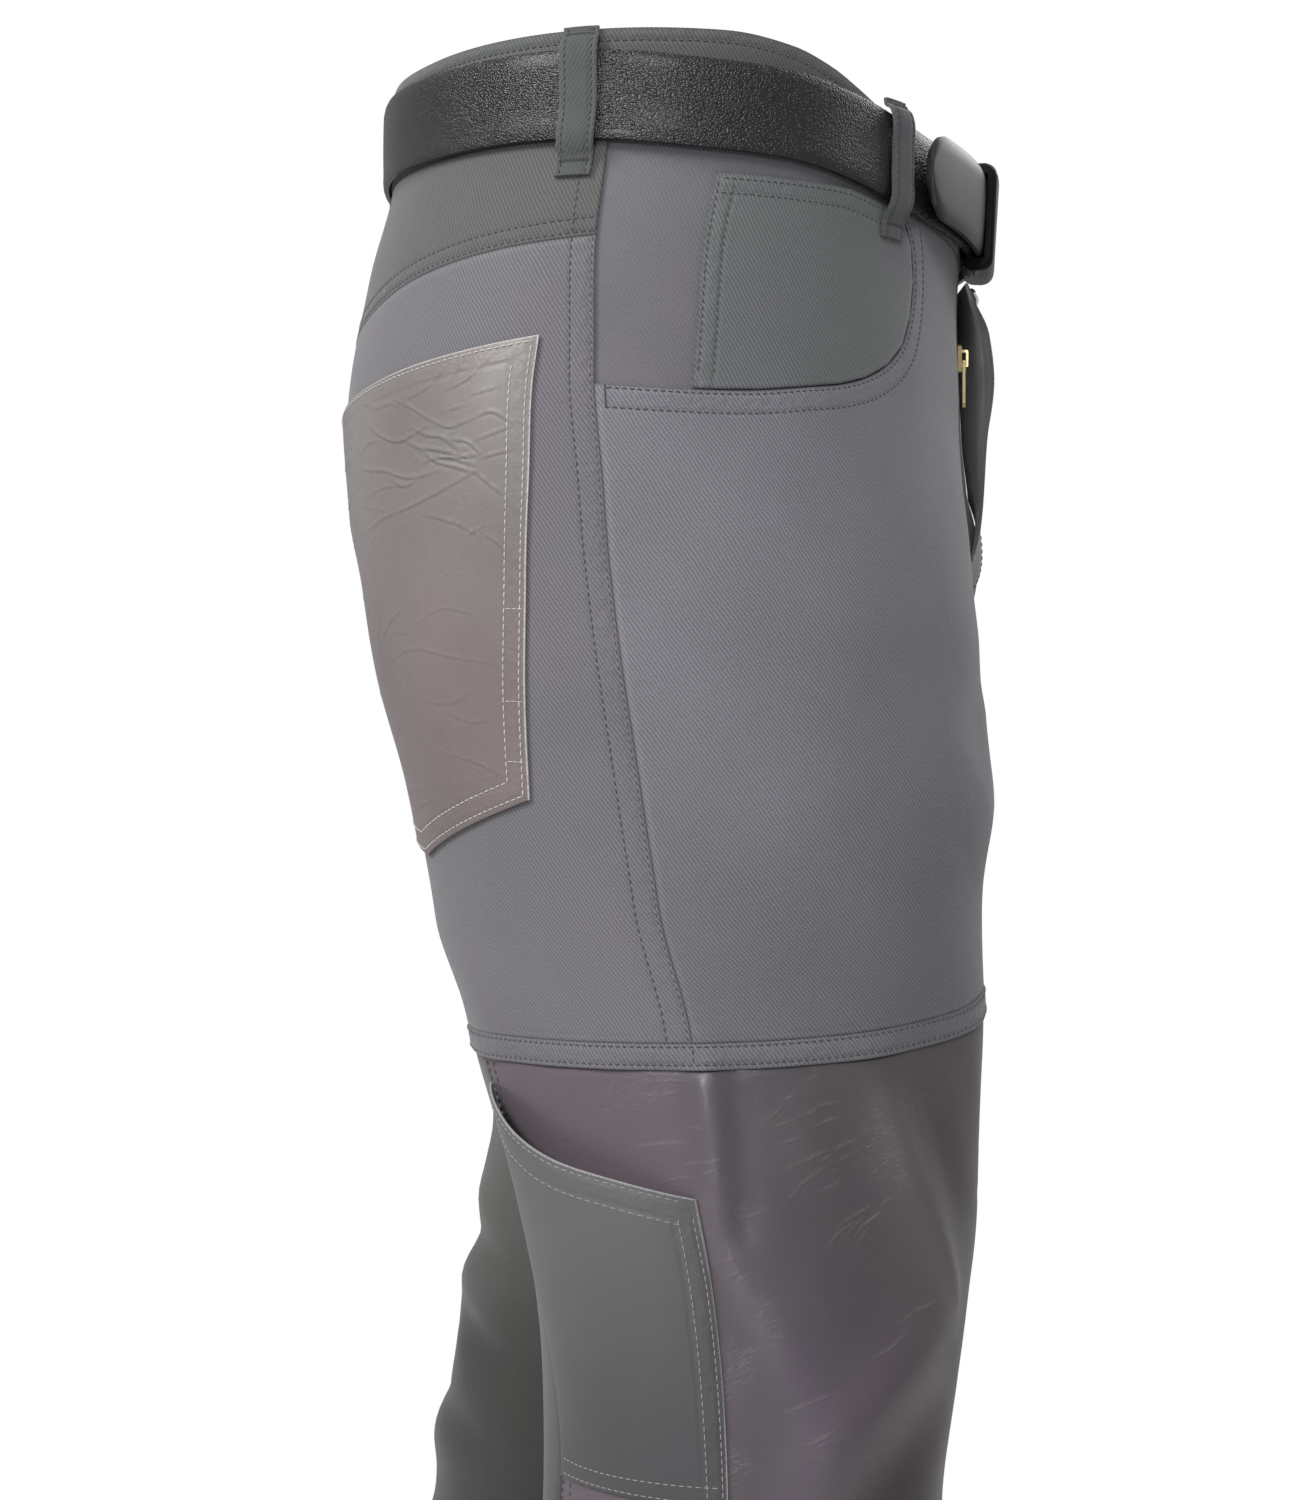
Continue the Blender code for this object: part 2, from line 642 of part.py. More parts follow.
def make_back(tag, side):
    """The upper back panel, from the yoke seam to the mid-thigh hem."""
    yoke = line_at(YOKE_LINE)
    hem = line_at(HEM_LINE, HEM_HEIGHT)
    yoke_back = meeting(yoke, back_edge, -88.0)
    hem_back = meeting(hem, back_edge, -353.0)
    rise = rise_heights(-184.0)
    outline = along_round(yoke, 0.0, back_edge(yoke_back))
    outline += along_height(back_edge, yoke_back, rise[0])
    outline += [(back_edge(z), z) for z in rise]
    outline += along_height(back_edge, CROTCH, hem_back)
    outline += along_round(hem, back_edge(hem_back), 0.0)
    outline += run([outline[-1], outline[0]])
    wall("back_" + tag, side, outline, -CLOTH, 0.0, TORSO_GRID, "twill")


def slit_edge(z):
    """s of the front's edge where the fly is open at the middle."""
    return front_edge(z) - SLIT_HALF


def make_front(tag, side):
    """The upper front panel, cut away at the scooped pocket and slit at the fly."""
    low = line_at(WAIST_LOW)
    hem = line_at(HEM_LINE, HEM_HEIGHT)
    low_front = meeting(low, slit_edge, -36.0)
    hem_front = meeting(hem, front_edge, -353.0)
    rise = rise_heights(SLIT_END - SLIT_HALF)
    outline = run(SCOOP_EDGE, SCOOP_STEP)
    outline += along_round(low, SCOOP_EDGE[-1][0], slit_edge(low_front))
    outline += along_height(slit_edge, low_front, SLIT_END)
    outline += [(front_edge(z), z) for z in rise]
    outline += along_height(front_edge, CROTCH, hem_front)
    outline += along_round(hem, front_edge(hem_front), 0.0)
    outline += run([outline[-1], outline[0]])
    wall("front_" + tag, side, outline, -CLOTH, 0.0, TORSO_GRID, "twill")


def make_facing(tag, side):
    """The pocket facing inside the scoop, which reaches under the front, yoke and back."""
    low = line_at(WAIST_LOW)
    outer = -CLOTH - LAYER_GAP
    lapped = [(-FACING_UNDER, SCOOP_EDGE[0][1] - FACING_LAP)]
    for s, z in SCOOP_EDGE:
        lapped.append((s + FACING_LAP * min(1.0, s / SCOOP_EDGE[8][0]) ** 4, z - FACING_LAP))
    lapped = [point for point in lapped if point[1] < -44.0]
    end = SCOOP_EDGE[-1][0] + FACING_LAP
    outline = run(lapped, SCOOP_STEP)
    outline += run([outline[-1], (end, float(low(end)))])
    outline += along_round(low, end, -FACING_UNDER)
    outline += run([outline[-1], outline[0]])
    wall("facing_" + tag, side, outline, outer - CLOTH, outer, TORSO_GRID, "facing")


def make_coin_pocket():
    """The upright pocket on the right facing, up to the scoop's edge."""
    inner = -CLOTH - LAYER_GAP + COIN_RAISE
    outline = [(COIN_LEFT_LOW, SCOOP_EDGE[2][1])]
    outline += run(SCOOP_EDGE[2:-1], SCOOP_STEP)
    outline += run([outline[-1], (SCOOP_EDGE[-2][0] - COIN_RIGHT, COIN_TOP - COIN_DROP)])
    outline += run([outline[-1], (COIN_LEFT_TOP + COIN_LEVEL, COIN_TOP)])
    outline += run([outline[-1], (COIN_LEFT_TOP, COIN_TOP)])
    outline += run([outline[-1], outline[0]])
    wall("coin_pocket", RIGHT, outline, inner, inner + CLOTH, COIN_GRID, "twill", LAYER_GAP)


def make_back_pocket(tag, side):
    """The leather-look patch pocket on the seat."""
    outline = run(BACK_POCKET + BACK_POCKET[:1])
    wall("back_pocket_" + tag, side, outline, PATCH_GAP, PATCH_GAP + CLOTH,
         PATCH_GRID, "leather_pocket")


def make_hem_band(tag, side):
    """The double-stitched hem round the thigh, open by a seam's gap at the inseam."""
    low = line_at(HEM_LINE)
    top = line_at(HEM_LINE, HEM_HEIGHT)
    front = meeting(top, front_edge, -353.0)
    back = meeting(top, back_edge, -353.0)
    front_low = meeting(low, front_edge, -363.0)
    back_low = meeting(low, back_edge, -363.0)
    outline = along_round(top, back_edge(back), front_edge(front), ROUND_STEP)
    outline += along_round(low, front_edge(front_low), back_edge(back_low), ROUND_STEP)
    wall("hem_band_" + tag, side, outline, -CLOTH, HEM_PROUD, NO_GRID, "twill")


def leather_seam(z):
    """s of the seam behind the leather-look leg."""
    return float(smooth_curve(LEATHER_SEAM, 1, z))


def make_lower_leg(tag, side):
    """The leather-look leg panel, and the twill panel behind it."""
    hem = line_at(HEM_LINE)
    front = meeting(hem, front_edge, -363.0)
    back = meeting(hem, back_edge, -363.0)
    seam_top = float(hem(LEATHER_SEAM[-1][1]))
    outer = -LEG_SINK
    outline = along_round(hem, leather_seam(seam_top), front_edge(front))
    outline += along_height(front_edge, front, LEG_END, LEG_STEP)
    outline += run([outline[-1], (leather_seam(LEG_END), LEG_END)])
    outline += along_height(leather_seam, LEG_END, seam_top, LEG_STEP)
    wall("leg_front_" + tag, side, outline, outer - CLOTH, outer, LEG_GRID, "leather_leg")
    outline = along_round(hem, back_edge(back), leather_seam(seam_top))
    outline += along_height(leather_seam, seam_top, LEG_END, LEG_STEP)
    outline += run([outline[-1], (back_edge(LEG_END), LEG_END)])
    outline += along_height(back_edge, LEG_END, back, LEG_STEP)
    wall("leg_back_" + tag, side, outline, outer - CLOTH, outer, LEG_GRID, "twill")


def tool_front(z):
    """s of the tool pocket's front edge."""
    share = (z - TOOL_MOUTH[-1][1]) / (TOOL_BOTTOM - TOOL_MOUTH[-1][1])
    return TOOL_MOUTH[-1][0] + (TOOL_FRONT_LOW - TOOL_MOUTH[-1][0]) * share


def tool_inner(s, z):
    """How far the tool pocket's inner face stands off, most in the middle of its mouth."""
    back = smooth_curve(LEATHER_SEAM, 1, z) + TOOL_TACK
    front = TOOL_MOUTH[-1][0] + (TOOL_FRONT_LOW - TOOL_MOUTH[-1][0]) * np.clip(
        (z - TOOL_MOUTH[-1][1]) / (TOOL_BOTTOM - TOOL_MOUTH[-1][1]), 0.0, 1.0)
    across = np.clip((s - back) / (front - back), 0.0, 1.0)
    mouth = smooth_curve(TOOL_MOUTH, 1, s)
    down = np.clip((z - TOOL_BOTTOM) / (mouth - TOOL_BOTTOM), 0.0, 1.0)
    arch = np.sin(np.pi * across) ** 0.8
    return TOOL_INNER + TOOL_BULGE * arch * np.sin(0.5 * np.pi * down) ** 0.8


def tool_outer(s, z):
    """Outer face of the tool pocket."""
    return tool_inner(s, z) + CLOTH


def make_tool_pocket():
    """The slanted tool pocket behind the right side seam, with its mouth standing open."""
    back = [(s + TOOL_TACK, z) for s, z in along_height(leather_seam, TOOL_BOTTOM, -384.0)]
    outline = run(TOOL_MOUTH, ROUND_STEP)
    outline += along_height(tool_front, TOOL_MOUTH[-1][1], TOOL_BOTTOM)
    outline += run([outline[-1], back[0]])
    outline += back
    wall("tool_pocket", RIGHT, outline, tool_inner, tool_outer, TOOL_GRID, "leather_tool")


def fly_share(s, z):
    """Zero at the flap's stitched edge and one at its free edge."""
    start = front_end(z) - FLY_WIDTH
    width = FLY_WIDTH - SLIT_HALF - FLY_CLEAR
    return np.clip((s - start) / width, 0.0, 1.0)


def fly_inner(s, z):
    """Inner face of the fly flap, which stands off at its free edge."""
    return LAYER_GAP + smooth_curve(FLY_LIFT, 1, z) * fly_share(s, z) ** 1.6


def fly_outer(s, z):
    """Outer face of the fly flap."""
    return fly_inner(s, z) + CLOTH


def fly_stitched_edge(z):
    """s of the flap's stitched edge, which curves to the middle at its lower end."""
    drop = max(0.0, (FLY_END + FLY_CURVE - z) / FLY_CURVE)
    reach = FLY_WIDTH * math.sqrt(max(0.0, 1.0 - drop**2))
    return front_edge(z) - max(reach, SLIT_HALF + 3.0)


def fly_free_edge(z):
    """s of the flap's free edge."""
    return front_edge(z) - SLIT_HALF - FLY_CLEAR


def make_fly():
    """The flap over the fly on the left front, with its snap."""
    free = along_height(fly_free_edge, FLY_TOP, FLY_END + 1.0, 12.0)
    sewn = along_height(fly_stitched_edge, FLY_END + 1.0, FLY_TOP, 9.0)
    wall("fly_flap", LEFT, free + sewn, fly_inner, fly_outer, FLY_GRID, "twill_dark")
    snap_s = fly_free_edge(SNAP_Z) - SNAP_INSET
    levels = ((0.0, 0.75), (0.5, 1.0), (0.75 * SNAP_HEIGHT, 0.95), (SNAP_HEIGHT, 0.55))
    rings = []
    for level, share in levels:
        angle = np.arange(SNAP_SIDES) * 2.0 * np.pi / SNAP_SIDES
        s = snap_s + SNAP_RADIUS * share * np.cos(angle)
        z = SNAP_Z + SNAP_RADIUS * share * np.sin(angle)
        rings.append(place(LEFT, s, z, fly_outer(s, z) + LAYER_GAP + level))
    tube_between("fly_snap", rings, "steel")


def tape_edge(z):
    """s of a zip tape's edge, beside the chain."""
    return front_edge(z) - TAPE_CLEAR


def make_zip():
    """The two zip tapes, the closed chain between them, the slider and its pull tab."""
    for tag, side in SIDES:
        outer = -CLOTH - TAPE_GAP
        edge = along_height(tape_edge, FLY_TOP, SLIT_END, 20.0)
        far = [(s - TAPE_WIDTH, z) for s, z in reversed(edge)]
        wall("zip_tape_" + tag, side, edge + far, outer - TAPE_THICK, outer, TAPE_GRID, "tape")
    rings = []
    for z in np.linspace(FLY_TOP - 2.0, SLIT_END, CHAIN_RINGS):
        back = front_middle(z) + CHAIN_BACK
        face = front_middle(z) - CHAIN_FACE
        rings.append(np.array([(-CHAIN_HALF, back, z), (CHAIN_HALF, back, z),
                               (CHAIN_HALF, face, z), (-CHAIN_HALF, face, z)]))
    tube_between("zip_chain", rings, "brass", smooth=False)
    make_slider()


def front_middle(z):
    """y of the cloth at the front's middle."""
    return float(body_points(RIGHT, front_end(z), np.array([z]))[0][1])


def slider_outline(half_width, half_height):
    """Half-shield outline of a zip slider, wide at the top and narrower below."""
    return ((-half_width, half_height - 1.0), (-half_width + 1.4, half_height),
            (half_width - 1.4, half_height), (half_width, half_height - 1.0),
            (half_width - 0.8, -half_height + 1.6), (half_width - 1.8, -half_height),
            (-half_width + 1.8, -half_height), (-half_width + 0.8, -half_height + 1.6))


def make_slider():
    """The slider's plate with a staple over it, and the pull tab that hangs in the staple."""
    face = front_middle(SLIDER_Z) - SLIDER_FACE
    plate = face - SLIDER_PLATE
    form = bmesh.new()
    lower = [form.verts.new((x * MM, face * MM, (SLIDER_Z + z) * MM))
             for x, z in slider_outline(SLIDER_HALF_WIDTH, SLIDER_HALF_HEIGHT)]
    base = form.faces.new(lower)
    grown = bmesh.ops.extrude_face_region(form, geom=[base])
    raised = [item for item in grown["geom"] if isinstance(item, bmesh.types.BMVert)]
    bmesh.ops.translate(form, verts=raised, vec=(0.0, -SLIDER_PLATE * MM, 0.0))
    bmesh.ops.recalc_face_normals(form, faces=form.faces[:])
    mesh = bpy.data.meshes.new("zip_slider")
    form.to_mesh(mesh)
    form.free()
    mesh.materials.append(material("brass"))
    slider = bpy.data.objects.new("zip_slider", mesh)
    bpy.context.scene.collection.objects.link(slider)

    staple = staple_guide(plate)
    union = slider.modifiers.new("staple", "BOOLEAN")
    union.operation = "UNION"
    union.object = staple

    axis_y = plate - PULL_AXIS_OUT
    axis_z = SLIDER_Z - PULL_AXIS_DOWN
    make_pull(axis_y, axis_z)


def staple_guide(plate):
    """The staple as a guide object that the slider's union reads."""
    top = STAPLE_HALF_HEIGHT
    eye = top - STAPLE_FOOT
    out = STAPLE_GAP + STAPLE_BAR
    sink = STAPLE_SINK
    corner = 0.5
    profile = ((-sink, -top), (out - corner, -top), (out, -top + corner), (out, top - corner),
               (out - corner, top), (-sink, top), (-sink, eye), (STAPLE_GAP, eye),
               (STAPLE_GAP, -eye), (-sink, -eye))
    form = bmesh.new()
    corners = [form.verts.new((-STAPLE_HALF_WIDTH * MM, (plate - d) * MM, (SLIDER_Z + z) * MM))
               for d, z in profile]
    base = form.faces.new(corners)
    grown = bmesh.ops.extrude_face_region(form, geom=[base])
    raised = [item for item in grown["geom"] if isinstance(item, bmesh.types.BMVert)]
    bmesh.ops.translate(form, verts=raised, vec=(2.0 * STAPLE_HALF_WIDTH * MM, 0.0, 0.0))
    bmesh.ops.recalc_face_normals(form, faces=form.faces[:])
    mesh = bpy.data.meshes.new("staple_guide")
    form.to_mesh(mesh)
    form.free()
    guide = bpy.data.objects.new("staple_guide", mesh)
    guide.hide_render = True
    guide.display_type = "WIRE"
    bpy.context.scene.collection.objects.link(guide)
    return guide


def make_pull(axis_y, axis_z):
    """The flat pull tab with a window for the staple and a hole near its end."""
    half = PULL_HALF_WIDTH
    slot = half - PULL_ARM
    thick = PULL_HALF_THICK
    end = -PULL_LENGTH
    top = PULL_BAR_RADIUS
    outer = ((-half, top), (half, top), (half, end + 1.6), (half - 1.4, end),
             (-half + 1.4, end), (-half, end + 1.6))
    inner = ((-slot, -PULL_BAR_RADIUS), (slot, -PULL_BAR_RADIUS), (slot, -PULL_WINDOW + 0.8),
             (slot - 0.7, -PULL_WINDOW), (-slot + 0.7, -PULL_WINDOW),
             (-slot, -PULL_WINDOW + 0.8))
    size = len(outer)
    points = []
    for y in (thick, -thick):
        for ring in (outer, inner):
            points += [(x, y, z) for x, z in ring]
    faces = []
    for i in range(size):
        k = (i + 1) % size
        faces.append((i, k, size + k, size + i))
        faces.append((2 * size + i, 3 * size + i, 3 * size + k, 2 * size + k))
        faces.append((i, 2 * size + i, 2 * size + k, k))
        faces.append((size + i, size + k, 3 * size + k, 3 * size + i))
    pull = make_object("zip_pull", points, faces, "brass", smooth=False)
    pull.location = (0.0, axis_y * MM, axis_z * MM)


def make_loop(name, places, path):
    """A belt loop: a strip over the belt, along a path of heights and offsets.

    places gives the positions round the waist across the strip.
    """
    path = np.array(path)
    tangent = np.gradient(path, axis=0)
    tangent = tangent / np.linalg.norm(tangent, axis=1)[:, None]
    normal = np.stack([-tangent[:, 1], tangent[:, 0]], axis=1)
    normal = normal * np.where(normal[:, 1:2] >= 0.0, 1.0, -1.0)
    inner = path - normal * (LOOP_THICK / 2.0)
    outer = path + normal * (LOOP_THICK / 2.0)
    profile = np.concatenate([outer, inner[::-1]])
    rings = []
    for u in places:
        ring = round_waist(np.full(len(profile), float(u)), profile[:, 0], profile[:, 1])
        rings.append(ring)
    count = len(path)
    size = len(profile)
    points = np.concatenate(rings)
    faces = []
    for i in range(len(rings) - 1):
        a = i * size
        b = (i + 1) * size
        for j in range(size):
            k = (j + 1) % size
            faces.append((a + j, a + k, b + k, b + j))
    last = (len(rings) - 1) * size
    for start in (0, last):
        for j in range(count - 1):
            faces.append((start + j, start + j + 1, start + size - 2 - j, start + size - 1 - j))
    make_object(name, points, faces, "twill")


def make_loops():
    """Five belt loops: two in front, two at the sides and one at the back's middle."""
    reach = -float(back_edge(0.0))
    stations = (
        ("loop_front_R", -(reach + LOOP_FRONT_S)), ("loop_front_L", reach + LOOP_FRONT_S),
        ("loop_side_R", -(reach + LOOP_SIDE_S)), ("loop_side_L", reach + LOOP_SIDE_S),
        ("loop_back", 0.0))
    over_belt = BELT_FACE + BELT_THICK + LOOP_ROOM + LOOP_THICK / 2.0
    seated = LAYER_GAP + LOOP_THICK / 2.0
    seated_top = WAISTBAND_PROUD + seated
    for name, u in stations:
        s = waist_s(u)
        top = float(smooth_curve(WAIST_TOP, 1, s))
        belt = float(smooth_curve(BELT_LINE, 1, s))
        belt_top = belt + BELT_WIDTH / 2.0
        belt_low = belt - BELT_WIDTH / 2.0
        crown = max(top + 0.5, belt_top + LOOP_ABOVE)
        low = min(belt_low, float(smooth_curve(WAIST_LOW, 1, s))) - LOOP_BELOW
        path = (
            (crown, seated_top), (crown - 2.5, seated_top + 0.4), (belt_top + 3.2, over_belt - 1.0),
            (belt_top + 0.8, over_belt), (belt + 6.0, over_belt + 0.3),
            (belt - 6.0, over_belt + 0.3), (belt_low - 0.8, over_belt),
            (belt_low - 3.4, over_belt - 1.2), (belt_low - 6.6, seated_top + 0.5),
            (low + 3.0, seated + 0.1), (low, seated))
        places = np.linspace(u - LOOP_HALF_WIDTH, u + LOOP_HALF_WIDTH, LOOP_PLACES)
        make_loop(name, places, path)


def belt_section(half_height):
    """Belt section as rows of height and offset, with softened edges."""
    soft = BELT_SOFT
    thick = BELT_THICK
    return ((-half_height, soft), (-half_height + soft, 0.0), (half_height - soft, 0.0),
            (half_height, soft), (half_height, thick - soft), (half_height - soft, thick),
            (0.0, thick + BELT_CROWN), (-half_height + soft, thick), (-half_height, thick - soft))


def make_belt():
    """The strap once round the waist, through the buckle and on as the tail to its tip."""
    reach = -float(back_edge(0.0))
    half = float(front_edge(0.0)) + reach
    start = -(half - 1.0)
    end = half + (half - (TAIL_TIP_S + reach))
    rings = []
    offsets = (
        (start, STRAP_IN_BUCKLE), (start + BUCKLE_HALF_LENGTH + 4.0, STRAP_IN_BUCKLE),
        (start + BUCKLE_HALF_LENGTH + 45.0, BELT_FACE), (half - 75.0, BELT_FACE),
        (half - BUCKLE_HALF_LENGTH - 4.0, STRAP_IN_BUCKLE),
        (half - BUCKLE_HALF_LENGTH + 2.0, STRAP_IN_BUCKLE + 0.4),
        (half - 3.0, TAIL_IN_BUCKLE), (half + BUCKLE_HALF_LENGTH + 2.0, TAIL_IN_BUCKLE),
        (half + 55.0, TAIL_IN_BUCKLE + 0.3), (end, TAIL_TIP_OFFSET))
    stations = list(np.linspace(start, end - TIP_ROUND, BELT_STATIONS))
    stations += [end - TIP_ROUND * (1.0 - math.sin(0.5 * math.pi * i / TIP_STATIONS))
                 for i in range(1, TIP_STATIONS + 1)]
    for u in stations:
        offset = float(smooth_curve(offsets, 1, u))
        centre = float(smooth_curve(BELT_LINE, 1, waist_s(u)))
        half_height = BELT_WIDTH / 2.0
        into_tip = max(0.0, (u - (end - TIP_ROUND)) / TIP_ROUND)
        half_height *= math.sqrt(max(0.0, 1.0 - 0.93 * into_tip**2))
        profile = np.array(belt_section(half_height))
        ring = round_waist(np.full(len(profile), u), centre + profile[:, 0],
                           offset + profile[:, 1])
        rings.append(ring)
    tube_between("belt_strap", rings, "belt")


def rounded_box(half_height, low, high, radius, steps=4):
    """Closed rounded rectangle as rows of height and offset."""
    points = []
    middle = (low + high) / 2.0
    depth = (high - low) / 2.0
    radius = min(radius, depth * 0.98, half_height * 0.98)
    for quarter in range(4):
        sign_z = 1.0 if quarter in (0, 3) else -1.0
        sign_o = 1.0 if quarter in (0, 1) else -1.0
        centre_z = sign_z * (half_height - radius)
        centre_o = middle + sign_o * (depth - radius)
        for i in range(steps + 1):
            angle = math.radians(90.0 * (quarter + i / steps))
            points.append((centre_z + radius * math.cos(angle),
                           centre_o + radius * math.sin(angle)))
    return np.array(points)


def make_buckle():
    """The belt's buckle: a rounded sleeve round both layers of the belt."""
    half = float(front_edge(0.0) - back_edge(0.0))
    centre = float(smooth_curve(BELT_LINE, 1, waist_s(half)))
    outside = rounded_box(BUCKLE_HEIGHT / 2.0, BUCKLE_BACK, BUCKLE_FRONT, BUCKLE_ROUND)
    inside = rounded_box(BELT_WIDTH / 2.0 + BUCKLE_ROOM, BUCKLE_BACK + BUCKLE_BACK_WALL,
                         BUCKLE_FRONT - BUCKLE_FRONT_WALL + 0.3, BUCKLE_ROOM_ROUND)
    places = np.linspace(half - BUCKLE_HALF_LENGTH, half + BUCKLE_HALF_LENGTH, BUCKLE_RINGS)
    rings = [buckle_ring(outside, u, centre) for u in places]
    rings += [buckle_ring(inside, u, centre) for u in reversed(places)]
    tube_between("belt_buckle", rings, "buckle", closed=True)


def buckle_ring(outline, u, centre):
    """One ring of the buckle at a place round the waist."""
    return round_waist(np.full(len(outline), u), centre + outline[:, 0], outline[:, 1])


def main():
    """Build every piece."""
    clear_scene()
    for tag, side in SIDES:
        make_waistband(tag, side)
        make_yoke(tag, side)
        make_back(tag, side)
        make_front(tag, side)
        make_facing(tag, side)
        make_back_pocket(tag, side)
        make_hem_band(tag, side)
        make_lower_leg(tag, side)
    make_coin_pocket()
    make_tool_pocket()
    make_fly()
    make_zip()
    make_loops()
    make_belt()
    make_buckle()


main()
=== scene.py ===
"""Looks of the well-used work trousers: cut and sewn cloth, leather-look panels, belt and zip.

Lengths are millimetres in the tables and functions, and metres in the meshes. A place on the
cloth is (s, z): s runs round from the side seam, forwards above zero and backwards below it.
Tables and sizes that part.py has too bear its names. Each make_ function dresses one piece, and
the looks and calls stand at the end.
"""
import math

import bmesh
import bpy
import numpy as np
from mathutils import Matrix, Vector
from mathutils.geometry import delaunay_2d_cdt


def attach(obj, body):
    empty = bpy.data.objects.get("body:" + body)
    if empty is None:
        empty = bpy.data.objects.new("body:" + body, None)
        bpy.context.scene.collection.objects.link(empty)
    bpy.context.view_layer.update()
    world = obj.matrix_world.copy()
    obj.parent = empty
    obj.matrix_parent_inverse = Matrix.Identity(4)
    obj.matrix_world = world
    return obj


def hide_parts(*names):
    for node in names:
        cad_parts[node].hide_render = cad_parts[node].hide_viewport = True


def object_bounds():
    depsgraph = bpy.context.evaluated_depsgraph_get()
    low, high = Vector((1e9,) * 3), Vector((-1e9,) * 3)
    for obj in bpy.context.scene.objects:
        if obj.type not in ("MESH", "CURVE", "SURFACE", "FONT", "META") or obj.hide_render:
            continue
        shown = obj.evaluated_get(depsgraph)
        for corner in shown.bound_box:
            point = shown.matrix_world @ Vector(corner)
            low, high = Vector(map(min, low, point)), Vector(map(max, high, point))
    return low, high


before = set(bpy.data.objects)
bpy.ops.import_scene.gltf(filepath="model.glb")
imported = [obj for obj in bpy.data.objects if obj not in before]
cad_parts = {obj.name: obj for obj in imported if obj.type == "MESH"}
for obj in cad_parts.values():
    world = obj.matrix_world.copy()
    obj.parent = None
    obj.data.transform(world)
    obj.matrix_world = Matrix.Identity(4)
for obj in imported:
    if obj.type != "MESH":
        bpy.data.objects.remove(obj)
CAD_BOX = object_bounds()

MM = 0.001
RIGHT = -1.0
LEFT = 1.0
SIDES = (("R", RIGHT), ("L", LEFT))
BODY = "pants"

# Sizes of the cloth
CLOTH = 1.2
LAYER_GAP = 0.5
PATCH_GAP = 0.8
LEG_SINK = 0.5
LEG_END = -1055.0
LEG_HEM = 20.0
CROTCH = -264.0
HEM_HEIGHT = 10.0
HEM_PROUD = 0.9
WAISTBAND_PROUD = 0.6
WAISTBAND_WALL = 2.1
FOLD_FADE = 30.0
FAR_AWAY = 60.0
MIDDLE_GAP = 0.2
DOUBLE_ROW = (2.0, 8.0)
SIDE_ROW = 9.5
SEAM_HALF = 0.06
EDGE_ROUND = 0.45
EDGE_RING = 1.1
SEAM_STEP = 4.0
BACK_RISE_TOP = -184.0

# Sizes of the belt and its buckle
BELT_WIDTH = 35.0
BELT_THICK = 3.5
BELT_FACE = 1.1
BUCKLE_HEIGHT = 46.0
BUCKLE_HALF_LENGTH = 20.0
BUCKLE_BACK = 1.4
BUCKLE_BACK_WALL = 1.5
BUCKLE_FRONT = 15.6
BUCKLE_FRONT_WALL = 4.0
BUCKLE_ROUND = 5.5
BUCKLE_ROOM = 0.6
BUCKLE_ROOM_ROUND = 0.8
STRAP_IN_BUCKLE = BUCKLE_BACK + BUCKLE_BACK_WALL + 0.4
TAIL_IN_BUCKLE = STRAP_IN_BUCKLE + BELT_THICK + 0.8
TAIL_TIP_S = 141.0
TAIL_TIP_OFFSET = 9.0
TIP_ROUND = 14.0

# Sizes of the fly and its zip
SLIT_HALF = 3.5
SLIT_END = -188.0
TAPE_CLEAR = 2.8
TAPE_GAP = 1.2
TAPE_THICK = 1.0
TAPE_WIDTH = 11.0
FLY_TOP = -43.5
FLY_END = -192.0
FLY_WIDTH = 38.0
FLY_CURVE = 34.0
FLY_CLEAR = 0.5
SNAP_RADIUS = 3.8
SNAP_Z = -48.8
SNAP_INSET = 6.0
TOOTH_PITCH = 1.35

# Sizes of the belt loops
LOOP_HALF_WIDTH = 7.0
LOOP_THICK = 1.6
LOOP_ROOM = 0.5
LOOP_ABOVE = 7.5
LOOP_BELOW = 14.0
LOOP_WIDTH = 2.0 * LOOP_HALF_WIDTH
LOOP_ACROSS = (0.0, 0.25, 1.0, 2.2, 3.2, 5.0, 7.0, 9.0, 10.8, 11.8, 13.0, 13.75, LOOP_WIDTH)
LOOP_FRONT_S = 129.0
LOOP_SIDE_S = -11.0

